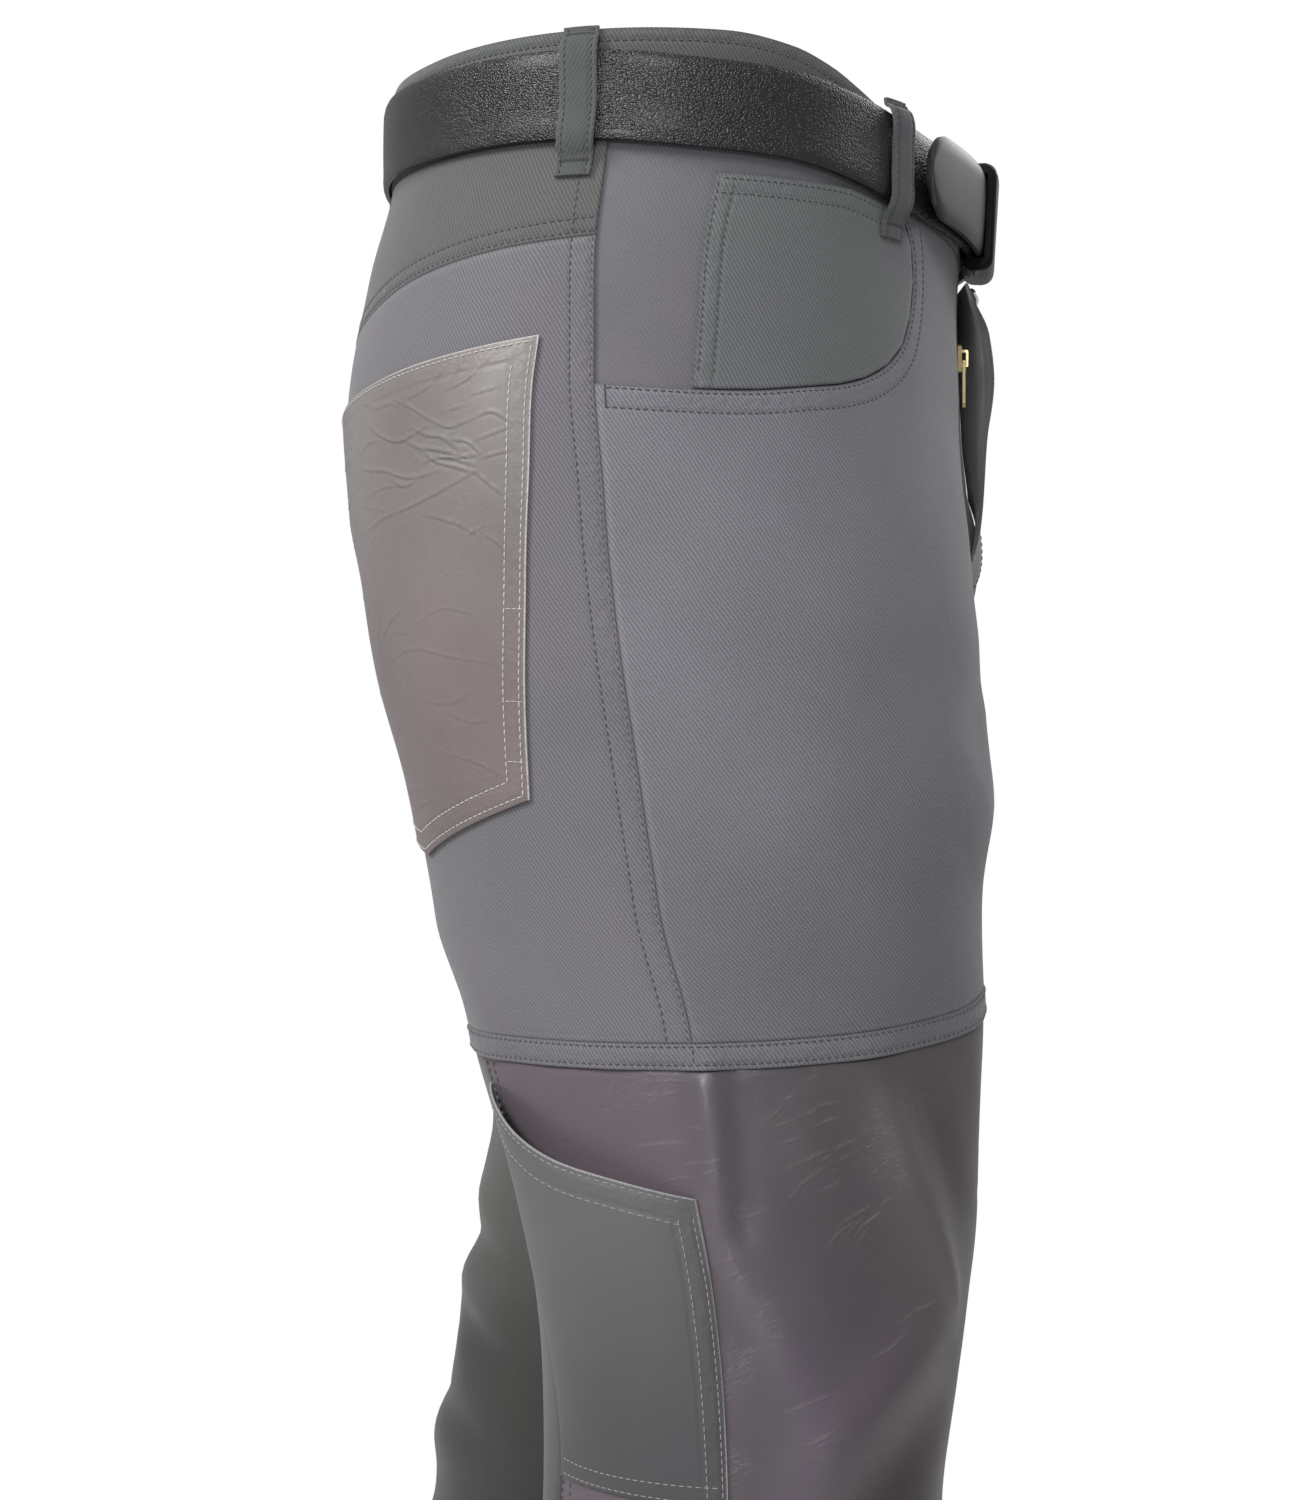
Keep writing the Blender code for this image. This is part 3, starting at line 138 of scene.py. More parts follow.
SECTION_COLUMNS = (
    "z", "half_width", "centre_x", "front", "back", "centre_y", "stride", "square", "seam")
SECTIONS = (
    (60.0, 165.0, 0.0, 130.0, 121.0, 0.0, 0.0, 2.00, -2.0),
    (0.0, 166.0, 0.0, 130.0, 121.0, 0.0, 0.0, 2.00, -2.0),
    (-50.0, 166.0, 8.0, 131.0, 126.0, 4.0, 0.0, 2.05, -2.0),
    (-104.0, 161.0, 20.0, 136.0, 128.5, 8.0, 0.0, 2.10, 2.0),
    (-150.0, 148.0, 37.0, 135.0, 129.5, 4.0, 3.0, 2.15, -1.0),
    (-184.0, 128.0, 58.0, 130.0, 127.5, -2.0, 5.0, 2.15, -6.0),
    (-224.0, 107.0, 79.0, 126.0, 124.0, -6.0, 8.0, 2.10, -8.0),
    (-264.0, 92.0, 92.0, 122.0, 118.0, -10.0, 11.0, 2.05, -9.0),
    (-310.0, 88.0, 96.0, 112.0, 112.0, -14.0, 13.0, 2.00, -8.0),
    (-364.0, 85.0, 99.0, 108.0, 103.0, -16.0, 16.0, 2.00, 0.0),
    (-424.0, 81.0, 102.0, 97.0, 92.5, -16.0, 24.0, 2.00, 0.0),
    (-480.0, 78.0, 105.0, 88.0, 86.0, -12.0, 33.0, 2.00, 0.0),
    (-560.0, 77.0, 110.0, 78.0, 82.0, -1.0, 43.0, 2.00, 0.0),
    (-660.0, 75.0, 115.0, 76.0, 81.0, 11.0, 50.0, 2.00, 0.0),
    (-800.0, 72.0, 122.0, 74.0, 78.0, 18.0, 55.0, 2.00, 0.0),
    (-930.0, 70.0, 128.0, 72.0, 75.0, 23.0, 59.0, 2.00, 0.0),
    (-1058.0, 70.0, 135.0, 71.0, 73.0, 28.0, 63.0, 2.00, 0.0),
)
STRIDE_BLEND = 80.0
STRIDE_BLEND_LOW = 4.0
STRIDE_BLEND_FROM = -330.0
STRIDE_BLEND_OVER = 100.0
SECTION_STEPS = 96

WAIST_TOP = (
    (-240.0, 34.0), (-148.0, 31.0), (-92.0, 28.0), (0.0, 27.0), (45.0, 27.0), (73.0, 24.0),
    (94.0, 18.0), (106.0, 13.0), (121.0, 7.0), (133.0, 4.0), (240.0, -1.0))
WAIST_LOW = (
    (-240.0, -7.0), (-148.0, -10.0), (-92.0, -13.0), (0.0, -14.0), (73.0, -17.0),
    (106.0, -24.0), (133.0, -31.0), (240.0, -38.0))
BELT_LINE = (
    (-240.0, 11.0), (-156.0, 8.0), (-79.0, 3.0), (-10.0, 1.0), (34.0, -2.5), (73.0, -4.5),
    (106.0, -9.5), (133.0, -14.5), (160.0, -17.5), (240.0, -19.0))
YOKE_LINE = (
    (-250.0, -90.0), (-139.0, -72.0), (-89.0, -63.0), (-40.0, -57.0), (0.0, -54.0))
HEM_LINE = (
    (-310.0, -363.0), (-200.0, -371.0), (-92.0, -373.0), (0.0, -371.5), (54.0, -369.0),
    (115.0, -363.0), (170.0, -355.0), (315.0, -363.0))
LEATHER_SEAM = (
    (-1058.0, -84.0), (-800.0, -82.0), (-534.0, -82.0), (-450.0, -98.0), (-370.0, -106.0))
SCOOP_EDGE = (
    (0.0, -112.0), (24.0, -113.6), (46.0, -114.0), (66.0, -113.2), (85.0, -111.0),
    (102.0, -108.6), (117.0, -104.5), (131.0, -98.0), (143.0, -88.5), (151.5, -75.0),
    (155.0, -60.0), (152.0, -46.0), (144.0, -36.0), (139.0, -32.6))
FACING_LAP = 11.0
FACING_UNDER = 3.5
FACING_TOP = -44.0
COIN_LEFT_TOP = 43.0
COIN_LEFT_LOW = 37.0
COIN_TOP = -28.0
BACK_POCKET = (
    (-21.0, -93.0), (-33.0, -181.0), (-45.0, -270.0), (-117.0, -293.0), (-189.0, -281.0),
    (-194.0, -196.0), (-197.0, -113.0), (-109.0, -103.0))
TOOL_MOUTH = (
    (-103.5, -383.0), (-92.0, -388.0), (-72.0, -398.0), (-55.0, -405.5), (-34.0, -412.0),
    (-17.0, -417.0), (-6.0, -420.0))
TOOL_BOTTOM = -535.0
TOOL_FRONT_LOW = 1.0
TOOL_BULGE = 12.0
TOOL_INNER = -0.1
TOOL_TACK = 1.6
FLY_LIFT = (
    (-192.0, 0.0), (-180.0, 2.6), (-160.0, 7.0), (-147.0, 8.5), (-113.0, 11.8), (-86.0, 15.0),
    (-67.0, 13.3), (-50.0, 6.0), (-43.5, 3.0))

# Folds from (s0, z0) to (s1, z1), on one side or on both (side 0)
FOLD_COLUMNS = ("side", "s0", "z0", "s1", "z1", "height", "spread")
FOLDS = (
    (0.0, 9.0, -376.0, 12.0, -455.0, 2.6, 9.0),
    (0.0, 66.0, -378.0, 100.0, -486.0, 3.0, 13.0),
    (0.0, 38.0, -400.0, 60.0, -500.0, -2.0, 16.0),
    (0.0, 92.0, -466.0, 18.0, -540.0, 3.6, 11.0),
    (0.0, 112.0, -492.0, 40.0, -556.0, -2.8, 13.0),
    (0.0, 205.0, -215.0, 150.0, -262.0, -2.6, 14.0),
    (0.0, 200.0, -250.0, 135.0, -292.0, 2.2, 13.0),
    (0.0, -235.0, -300.0, -140.0, -326.0, 2.6, 13.0),
    (0.0, -250.0, -338.0, -120.0, -350.0, -2.2, 12.0),
    (0.0, 150.0, -560.0, 40.0, -600.0, 3.0, 15.0),
    (0.0, 170.0, -640.0, 60.0, -628.0, -2.8, 15.0),
    (0.0, -215.0, -560.0, -110.0, -592.0, 4.0, 15.0),
    (0.0, -215.0, -628.0, -100.0, -618.0, -3.2, 14.0),
    (0.0, -205.0, -668.0, -110.0, -650.0, 3.4, 15.0),
    (0.0, 190.0, -690.0, 120.0, -760.0, 2.4, 16.0),
    (LEFT, -200.0, -440.0, -110.0, -470.0, 4.0, 16.0),
    (LEFT, -205.0, -506.0, -105.0, -512.0, 6.5, 13.0),
    (LEFT, 224.0, -136.0, 232.0, -200.0, 5.5, 14.0),
    (0.0, 160.0, -930.0, -20.0, -950.0, 2.6, 15.0),
    (0.0, 120.0, -986.0, -60.0, -978.0, -2.4, 14.0),
    (0.0, -180.0, -960.0, -60.0, -985.0, 3.0, 15.0),
    (0.0, 90.0, -1020.0, -40.0, -1012.0, 2.4, 12.0),
)
# Smaller creases that only the dressed cloth has, in the same columns
CREASES = (
    (0, 4.5, -366, 3, -426, 3, 3.6), (0, 14, -366, 12, -426, -3, 5),
    (0, 3, -408, -1, -436, 1.2, 3.6), (0, -1, -424, 9, -458, 2.6, 3.8),
    (0, 9, -412, 11, -440, -2.4, 4.2), (0, 7, -446, 25, -488, 2.6, 5.5),
    (0, 24, -470, 40, -524, 1.6, 8), (0, 70, -374, 84, -424, 3, 4.6),
    (0, 84, -422, 102, -474, 3, 5), (0, 54, -378, 66, -446, -1.8, 9),
    (0, 92, -372, 112, -440, -2.4, 7), (0, 132, -370, 138, -430, 1.6, 7),
    (0, 40, -374, 34, -420, 0.9, 8), (0, 10, -446, 28, -474, 0.8, 6),
    (0, 28, -500, 44, -548, 0.8, 9), (0, 120, -400, 150, -470, 1.2, 8),
    (0, 60, -190, 190, -206, 0.8, 12), (0, 40, -214, 160, -222, -0.7, 13),
    (0, 170, -150, 120, -166, 0.6, 10), (0, 196, -228, 168, -246, 1.1, 5),
    (0, 210, -240, 170, -270, -1, 6), (0, -250, -276, -190, -300, 1.4, 7),
    (0, -255, -300, -180, -318, -1.2, 7), (0, -180, -318, -90, -334, 1, 8),
    (0, -150, -340, -60, -346, 0.7, 7), (0, -240, -225, -205, -262, 1.4, 8),
    (0, -140, -586, -60, -600, 1.6, 6), (0, -200, -600, -130, -606, -1.8, 7),
    (0, -190, -640, -90, -636, 1.6, 7), (0, 130, -584, 60, -612, -1.5, 8),
    (0, 160, -610, 96, -624, 1.3, 7), (0, 180, -664, 110, -660, 1.5, 8),
    (0, 20, -620, -60, -640, 1.2, 10), (0, 100, -700, 30, -760, 1.2, 12),
    (0, -60, -700, -120, -800, 1.4, 13), (0, 150, -790, 90, -860, -1.3, 12),
    (0, 60, -850, -20, -900, 1.2, 12), (0, -150, -860, -90, -900, 1.3, 10),
    (0, 150, -958, 40, -968, 1.4, 8), (0, 60, -1000, -70, -1002, 1.5, 8),
    (0, -60, -948, -150, -940, -1.3, 8), (0, 130, -1034, 60, -1036, 1, 6),
    (LEFT, -150, -438, -212, -454, -1.6, 7), (LEFT, -134, -460, -202, -488, 2, 6),
    (LEFT, -124, -486, -208, -500, -2.6, 5), (LEFT, -130, -514, -214, -548, -3, 6.5),
    (LEFT, -140, -530, -206, -568, 2, 7), (LEFT, -116, -556, -202, -582, -2.4, 6),
    (LEFT, -170, -470, -90, -486, 1.2, 7), (LEFT, -180, -404, -110, -424, 1.6, 9),
)
# Hard creases on the back pocket: height, width, then the line they follow
POCKET_CREASES = (
    (0.34, 0.9, ((-124, -163), (-104, -158.5), (-88, -156), (-66, -150), (-50, -144))),
    (0.26, 0.9, ((-80, -159), (-68, -162), (-59, -165), (-51, -170))),
    (0.4, 1, ((-116, -119), (-104, -126), (-90, -129.5), (-83, -128), (-74, -125))),
    (0.3, 0.9, ((-124, -131), (-114, -128), (-105, -128))),
    (0.34, 0.9, ((-92, -113), (-82, -117), (-71, -123))),
    (0.3, 0.9, ((-119, -111), (-108, -114.5), (-96, -114), (-89, -116))),
    (0.24, 0.8, ((-90, -114), (-75, -111), (-61, -102))),
    (0.42, 1.1, ((-82, -125), (-72, -129), (-66, -130), (-58, -135))),
    (0.45, 1.1, ((-88, -129), (-79, -133), (-70, -134.5), (-56, -138))),
    (0.42, 1.1, ((-78, -134), (-68, -140), (-60, -142), (-51, -145))),
    (0.34, 0.9, ((-62, -131), (-52, -133.5), (-48, -137))),
    (0.36, 0.9, ((-69, -137), (-59, -138.5), (-48, -138))),
    (0.4, 1, ((-78, -139), (-66, -138), (-50, -142))),
    (0.42, 1, ((-123, -137), (-113, -139), (-104, -140), (-86, -144.5), (-69, -143))),
    (0.34, 0.9, ((-97, -144), (-90, -147.5), (-82, -146))),
    (0.28, 0.9, ((-116, -149), (-104, -147), (-90, -147))),
    (0.34, 0.9, ((-70, -123), (-62, -126.5), (-52, -125))), (0.22, 0.8, ((-63, -120), (-53, -119))),
    (0.28, 0.9, ((-49, -124), (-41, -122), (-33, -126.5))),
    (0.22, 0.8, ((-49, -132.5), (-33, -128))), (0.26, 0.8, ((-48, -139.5), (-35, -137))),
    (0.28, 0.9, ((-51, -144), (-47, -148), (-39, -154))), (0.2, 0.8, ((-123, -153), (-100, -156))),
    (0.24, 0.8, ((-64, -113), (-50, -108), (-41, -101))), (0.2, 0.8, ((-50, -115), (-38, -113))),
    (0.22, 0.8, ((-58, -169), (-49, -165))), (0.22, 0.8, ((-50, -168), (-43, -173))),
    (0.24, 0.8, ((-132, -212), (-116, -202), (-96, -194))), (0.2, 0.8, ((-112, -204), (-94, -205))),
    (0.2, 0.8, ((-86, -200), (-72, -196), (-58, -199))),
    (0.22, 0.8, ((-118, -216), (-96, -211), (-70, -215), (-52, -218))),
    (0.2, 0.8, ((-92, -231), (-78, -233), (-62, -228))),
    (0.22, 0.8, ((-78, -236), (-66, -240), (-56, -239))),
    (0.24, 0.8, ((-84, -252), (-66, -256), (-52, -262))), (0.2, 0.8, ((-140, -252), (-120, -254))),
    (0.22, 0.8, ((-128, -268), (-104, -266))), (0.22, 0.8, ((-122, -276), (-98, -270))),
    (0.26, 0.9, ((-186, -128), (-168, -134), (-150, -131), (-134, -137))),
    (0.26, 0.9, ((-190, -146), (-166, -150), (-142, -144))),
    (0.24, 0.9, ((-180, -158), (-158, -154), (-138, -160))),
    (0.2, 0.8, ((-186, -196), (-160, -188), (-140, -190))),
    (0.2, 0.8, ((-180, -232), (-158, -226), (-146, -232))),
)
# Fine crinkles in the leather-look leg, written as the pocket's creases are
LEG_CREASES = (
    (0.16, 0.7, ((42, -369), (46, -369))), (0.26, 0.7, ((46, -372), (50, -370.5), (54, -369))),
    (0.2, 0.7, ((41, -376), (44, -375), (48, -373))), (0.2, 0.7, ((31, -384), (37, -381))),
    (0.18, 0.7, ((24, -391), (29, -388), (32, -385))),
    (0.24, 0.7, ((42, -388), (48, -385), (54, -384))), (0.2, 0.7, ((40, -388.5), (46, -387))),
    (0.26, 0.7, ((44, -393), (49, -391), (53, -390))), (0.2, 0.7, ((28, -393), (35, -390.5))),
    (0.2, 0.7, ((29, -399.5), (34, -398), (39, -396.5))),
    (0.3, 0.7, ((51, -402), (55, -400), (59, -399))),
    (0.24, 0.7, ((35, -407.5), (42, -404), (47, -402))), (0.2, 0.7, ((43, -406.5), (49, -404))),
    (0.22, 0.7, ((33, -416), (39, -412), (46, -408))), (0.26, 0.7, ((43, -417.5), (50, -414.5))),
    (0.2, 0.7, ((28, -421.5), (32, -418), (35, -415.5))),
    (0.28, 0.7, ((49, -431), (53, -428.5), (57, -426.5))),
    (0.26, 0.7, ((56, -427.5), (62, -424.5))), (0.24, 0.7, ((48, -434), (54, -430))),
    (0.28, 0.7, ((51, -434.5), (54, -432), (58, -429))),
    (0.24, 0.7, ((54, -436), (58, -432), (64, -428))),
    (0.22, 0.7, ((43, -439), (46, -435), (50, -432))), (0.2, 0.7, ((56, -437), (60, -433))),
    (0.22, 0.7, ((60, -431), (66, -427))), (0.22, 0.7, ((66, -424.5), (72, -421))),
    (0.22, 0.8, ((-25, -401.5), (-16, -400), (-6, -399))),
    (0.16, 0.8, ((-17, -376.5), (-10, -376), (-4, -376))),
    (0.16, 0.8, ((-17, -383.5), (-13, -381.5), (-7, -380))), (0.14, 0.7, ((-6, -393.5), (0, -393))),
    (0.18, 0.7, ((-8, -407.5), (-2, -406))),
    (0.14, 0.7, ((-17, -414.5), (-12, -413), (-7, -412.5))),
    (0.22, 0.7, ((-2, -410.5), (2, -409), (5, -408))),
    (0.2, 0.7, ((-1, -406.5), (3, -405.5), (7, -404.5))), (0.18, 0.7, ((-1, -443.5), (6, -442))),
    (0.22, 0.7, ((2, -449.5), (8, -446.5))), (0.18, 0.7, ((4, -451.5), (10, -448.5))),
    (0.18, 0.7, ((45, -411.5), (51, -409.5))), (0.2, 0.7, ((50, -407.5), (57, -404))),
    (0.18, 0.7, ((31, -408.5), (37, -405.5))), (0.16, 0.7, ((11, -427.5), (19, -424.5))),
    (0.24, 0.8, ((70, -470), (76, -466), (86, -463))),
    (0.2, 0.8, ((58, -482), (66, -478), (72, -473))),
    (0.22, 0.8, ((22, -500), (32, -496), (40, -494))), (0.2, 0.8, ((30, -512), (40, -507))),
    (0.26, 0.9, ((120, -566), (104, -574), (88, -576))),
    (0.26, 0.9, ((112, -588), (96, -592), (82, -600))),
    (0.24, 0.9, ((128, -600), (116, -606), (98, -606))),
    (0.24, 0.9, ((136, -622), (120, -624), (108, -630))),
    (0.22, 0.9, ((60, -600), (48, -610), (30, -612))),
    (0.22, 0.9, ((44, -626), (26, -630), (10, -638))),
    (0.2, 0.9, ((96, -648), (80, -652), (68, -648))),
)
GRID_Z_STEP = 1.5
GRID_ROUND = 480

# The picture's view, in degrees, metres and millimetres of lens
AZIMUTH = -82.0
TARGET = (0.0, 0.010, -0.251)
DISTANCE = 1.15
LENS = 61.37
SENSOR = 36.0
FLOOR_DROP = 0.015
FLOOR_RADIUS = 1.5

# Lights: name, place, target, size, power, colour
LIGHTS = (
    ("key", (-1.3, 1.5, 1.25), (0.0, 0.0, -0.2), (0.9, 0.9), 46.0, (1.0, 0.99, 0.97)),
    ("side", (-2.0, -0.3, 1.2), (0.0, 0.0, -0.1), (0.7, 0.9), 20.0, (0.97, 0.98, 1.0)),
    ("glint", (-2.0, 0.22, 0.16), (0.0, 0.0, -0.2), (0.22, 0.30), 9.0, (0.98, 0.99, 1.0)),
    ("far", (1.6, -1.2, 1.2), (0.0, 0.0, -0.4), (1.4, 1.4), 20.0, (1.0, 1.0, 1.0)),
)


def smooth_curve(rows, column, at):
    """Monotone smooth curve through one column of a table whose first column is the place."""
    ordered = sorted(rows)
    where = np.array([row[0] for row in ordered])
    value = np.array([row[column] for row in ordered], dtype=float)
    slope = np.diff(value) / np.diff(where)
    tangent = np.zeros_like(value)
    product = slope[:-1] * slope[1:]
    total = slope[:-1] + slope[1:]
    safe = np.where(product > 0.0, total, 1.0)
    tangent[1:-1] = np.where(product > 0.0, 2.0 * product / safe, 0.0)
    tangent[0] = slope[0]
    tangent[-1] = slope[-1]
    at = np.clip(np.asarray(at, dtype=float), where[0], where[-1])
    index = np.clip(np.searchsorted(where, at) - 1, 0, len(where) - 2)
    width = where[index + 1] - where[index]
    t = (at - where[index]) / width
    start = (2 * t**3 - 3 * t**2 + 1) * value[index]
    leave = (t**3 - 2 * t**2 + t) * width * tangent[index]
    end = (3 * t**2 - 2 * t**3) * value[index + 1]
    arrive = (t**3 - t**2) * width * tangent[index + 1]
    return start + leave + end + arrive


def section(z):
    """All section sizes at the heights z."""
    names = SECTION_COLUMNS[1:]
    return {name: smooth_curve(SECTIONS, i + 1, z) for i, name in enumerate(names)}


def quarter_lines(sizes, sign):
    """Points of half a section from its outermost place to its end, one row for each height."""
    ratio = np.clip(sizes["centre_x"] / sizes["half_width"], 0.0, 1.0)
    end = np.pi - np.arccos(ratio ** (sizes["square"] / 2.0))
    angle = np.linspace(0.0, 1.0, SECTION_STEPS)[None, :] * end[:, None]
    power = (2.0 / sizes["square"])[:, None]
    cosine = np.cos(angle)
    wide = np.sign(cosine) * np.abs(cosine) ** power
    deep = np.abs(np.sin(angle)) ** power
    depth = sizes["front"] if sign > 0.0 else sizes["back"]
    x = sizes["centre_x"][:, None] + sizes["half_width"][:, None] * wide
    y = -sign * depth[:, None] * deep
    step = np.hypot(np.diff(x, axis=1), np.diff(y, axis=1))
    length = np.concatenate([np.zeros((len(x), 1)), np.cumsum(step, axis=1)], axis=1)
    return x, y, length


def fold_height(side, s, z):
    """How far folds and creases move the cloth outwards."""
    height = np.zeros_like(s)
    for row in FOLDS + CREASES:
        fold = dict(zip(FOLD_COLUMNS, row))
        if fold["side"] not in (0.0, side):
            continue
        run = np.array([fold["s1"] - fold["s0"], fold["z1"] - fold["z0"]])
        length = np.linalg.norm(run)
        run = run / length
        along = (s - fold["s0"]) * run[0] + (z - fold["z0"]) * run[1]
        across = (s - fold["s0"]) * -run[1] + (z - fold["z0"]) * run[0]
        middle = np.clip(along / length, 0.0, 1.0)
        beyond = along - middle * length
        taper = np.sin(np.pi * np.clip(along / length, 0.03, 0.97)) ** 0.6
        reach = np.exp(-(across**2 + beyond**2) / (2.0 * fold["spread"] ** 2))
        height += fold["height"] * taper * reach
    return height


def unevenness(side, s, z):
    """Slow, shallow waves that keep the cloth from lying dead smooth."""
    calm = np.clip((-z - 60.0) / 60.0, 0.0, 1.0)
    wave = 0.40 * np.sin(s / 21.0 + z / 33.0 + side)
    wave += 0.34 * np.sin(s / 37.0 - z / 24.0 + 2.0 * side)
    wave += 0.22 * np.sin(s / 12.5 + z / 15.5 + 1.3)
    wave += 0.18 * np.sin(s / 9.5 - z / 19.0 + 0.4 * side)
    return wave * calm


class Surface:
    """One side's cloth as a grid of points and normals, with places looked up in between."""

    def __init__(self, side):
        self.z = np.arange(62.0, -1062.0, -GRID_Z_STEP)[::-1]
        sizes = section(self.z)
        front = quarter_lines(sizes, 1.0)
        back = quarter_lines(sizes, -1.0)
        self.front = front[2][:, -1] - sizes["seam"]
        self.back = -back[2][:, -1] - sizes["seam"]
        t = np.linspace(0.0, 1.0, GRID_ROUND)
        s = self.back[:, None] + (self.front - self.back)[:, None] * t[None, :]
        x = np.zeros_like(s)
        y = np.zeros_like(s)
        for i in range(len(self.z)):
            along = s[i] + sizes["seam"][i]
            ahead = along >= 0.0
            for lines, chosen in ((front, ahead), (back, ~ahead)):
                want = np.abs(along[chosen])
                x[i, chosen] = np.interp(want, lines[2][i], lines[0][i])
                y[i, chosen] = np.interp(want, lines[2][i], lines[1][i])
        low = np.clip((self.z - STRIDE_BLEND_FROM) / STRIDE_BLEND_OVER, 0.0, 1.0)[:, None]
        blend = np.clip(x / (STRIDE_BLEND_LOW + STRIDE_BLEND * low), 0.0, 1.0)
        y = y + sizes["centre_y"][:, None] + side * sizes["stride"][:, None] * blend
        height = np.broadcast_to(self.z[:, None], s.shape)
        points = np.stack([side * (x + MIDDLE_GAP), y, height], axis=2)
        normals = self.normals_of(points, side)
        inside = np.minimum(self.front[:, None] - s, s - self.back[:, None])
        edge = np.clip(inside / FOLD_FADE, 0.0, 1.0)
        lift = (fold_height(side, s, height) + unevenness(side, s, height)) * edge
        self.points = points + normals * lift[:, :, None]
        self.normals = self.normals_of(self.points, side)

    @staticmethod
    def normals_of(points, side):
        """Outward normals of the grid."""
        forward = np.gradient(points, axis=1)
        upward = np.gradient(points, axis=0)
        normal = np.cross(forward, upward) * -side
        return normal / np.linalg.norm(normal, axis=2)[:, :, None]

    def ends(self, z):
        """s of the back's and the front's inner edge."""
        return np.interp(z, self.z, self.back), np.interp(z, self.z, self.front)

    def look_up(self, grid, s, z):
        """Values of a grid at the places."""
        row = np.clip((z - self.z[0]) / GRID_Z_STEP, 0.0, len(self.z) - 1.001)
        back, front = self.ends(z)
        column = np.clip((s - back) / (front - back), 0.0, 1.0) * (GRID_ROUND - 1.0)
        column = np.clip(column, 0.0, GRID_ROUND - 1.001)
        i = row.astype(int)
        j = column.astype(int)
        a = (row - i)[:, None]
        b = (column - j)[:, None]
        low = grid[i, j] * (1.0 - b) + grid[i, j + 1] * b
        high = grid[i + 1, j] * (1.0 - b) + grid[i + 1, j + 1] * b
        return low * (1.0 - a) + high * a

    def place(self, s, z, offset):
        """Points that lie offset outside the main panels' outer face."""
        s = np.atleast_1d(np.asarray(s, dtype=float))
        z = np.broadcast_to(np.asarray(z, dtype=float), s.shape)
        offset = np.broadcast_to(np.asarray(offset, dtype=float), s.shape)
        normal = self.look_up(self.normals, s, z)
        normal = normal / np.linalg.norm(normal, axis=1)[:, None]
        return self.look_up(self.points, s, z) + normal * offset[:, None]


SURFACES = {side: Surface(side) for _, side in SIDES}


def place(side, s, z, offset):
    """Points on one side's cloth."""
    return SURFACES[side].place(s, z, offset)


def front_edge(z):
    """s of the front's inner edge."""
    return SURFACES[RIGHT].ends(z)[1]


def back_edge(z):
    """s of the back's inner edge."""
    return SURFACES[RIGHT].ends(z)[0]


def line_at(rows, lift=0.0):
    """A line round the body as a function of s."""
    return lambda s: smooth_curve(rows, 1, s) + lift


def meeting(line, edge, start):
    """Height at which a line round the body meets an inner edge."""
    z = start
    for _ in range(30):
        z = float(line(edge(z)))
    return z


def run(points, step):
    """Points along an open line through the given corners, no further apart than step."""
    line = [points[0]]
    for start, end in zip(points[:-1], points[1:]):
        count = max(1, math.ceil(math.dist(start, end) / step))
        for i in range(1, count + 1):
            share = i / count
            line.append((start[0] + (end[0] - start[0]) * share,
                         start[1] + (end[1] - start[1]) * share))
    return line


def along_height(s_of_z, start, end, step):
    """Points of an edge whose s is a function of the height."""
    count = max(1, math.ceil(abs(end - start) / step))
    return [(float(s_of_z(z)), float(z)) for z in np.linspace(start, end, count + 1)]


def along_round(z_of_s, start, end, step):
    """Points of an edge whose height is a function of s."""
    count = max(1, math.ceil(abs(end - start) / step))
    return [(float(s), float(z_of_s(s))) for s in np.linspace(start, end, count + 1)]


def smooth_line(corners, step):
    """A rounded line through corners, as points no further apart than step."""
    rough = np.array(corners, dtype=float)
    reach = np.concatenate([[0.0], np.cumsum(np.linalg.norm(np.diff(rough, axis=0), axis=1))])
    want = np.linspace(0.0, reach[-1], max(3, math.ceil(reach[-1] / step) + 1))
    slope = np.gradient(rough, reach, axis=0)
    index = np.clip(np.searchsorted(reach, want) - 1, 0, len(reach) - 2)
    width = (reach[index + 1] - reach[index])[:, None]
    t = (want[:, None] - reach[index][:, None]) / width
    found = (2 * t**3 - 3 * t**2 + 1) * rough[index] + (t**3 - 2 * t**2 + t) * width * slope[index]
    found += (3 * t**2 - 2 * t**3) * rough[index + 1] + (t**3 - t**2) * width * slope[index + 1]
    return [tuple(point) for point in found]


def inset(outline, gap):
    """The outline moved inwards by the gap."""
    corners = np.array(outline)
    before = np.roll(corners, 1, axis=0)
    after = np.roll(corners, -1, axis=0)
    area = np.sum(corners[:, 0] * after[:, 1] - after[:, 0] * corners[:, 1])
    turn = 1.0 if area > 0 else -1.0
    first = corners - before
    second = after - corners
    first = first / np.linalg.norm(first, axis=1)[:, None]
    second = second / np.linalg.norm(second, axis=1)[:, None]
    inward_first = np.stack([-first[:, 1], first[:, 0]], axis=1) * turn
    inward_second = np.stack([-second[:, 1], second[:, 0]], axis=1) * turn
    middle = inward_first + inward_second
    middle = middle / np.linalg.norm(middle, axis=1)[:, None]
    reach = np.maximum(np.sum(middle * inward_first, axis=1), 0.35)
    return corners + middle * (gap / reach)[:, None]


def offset_line(line, gap):
    """An open line moved to its left by the gap."""
    points = np.array(line, dtype=float)
    tangent = np.gradient(points, axis=0)
    tangent = tangent / np.linalg.norm(tangent, axis=1)[:, None]
    return points + np.stack([-tangent[:, 1], tangent[:, 0]], axis=1) * gap


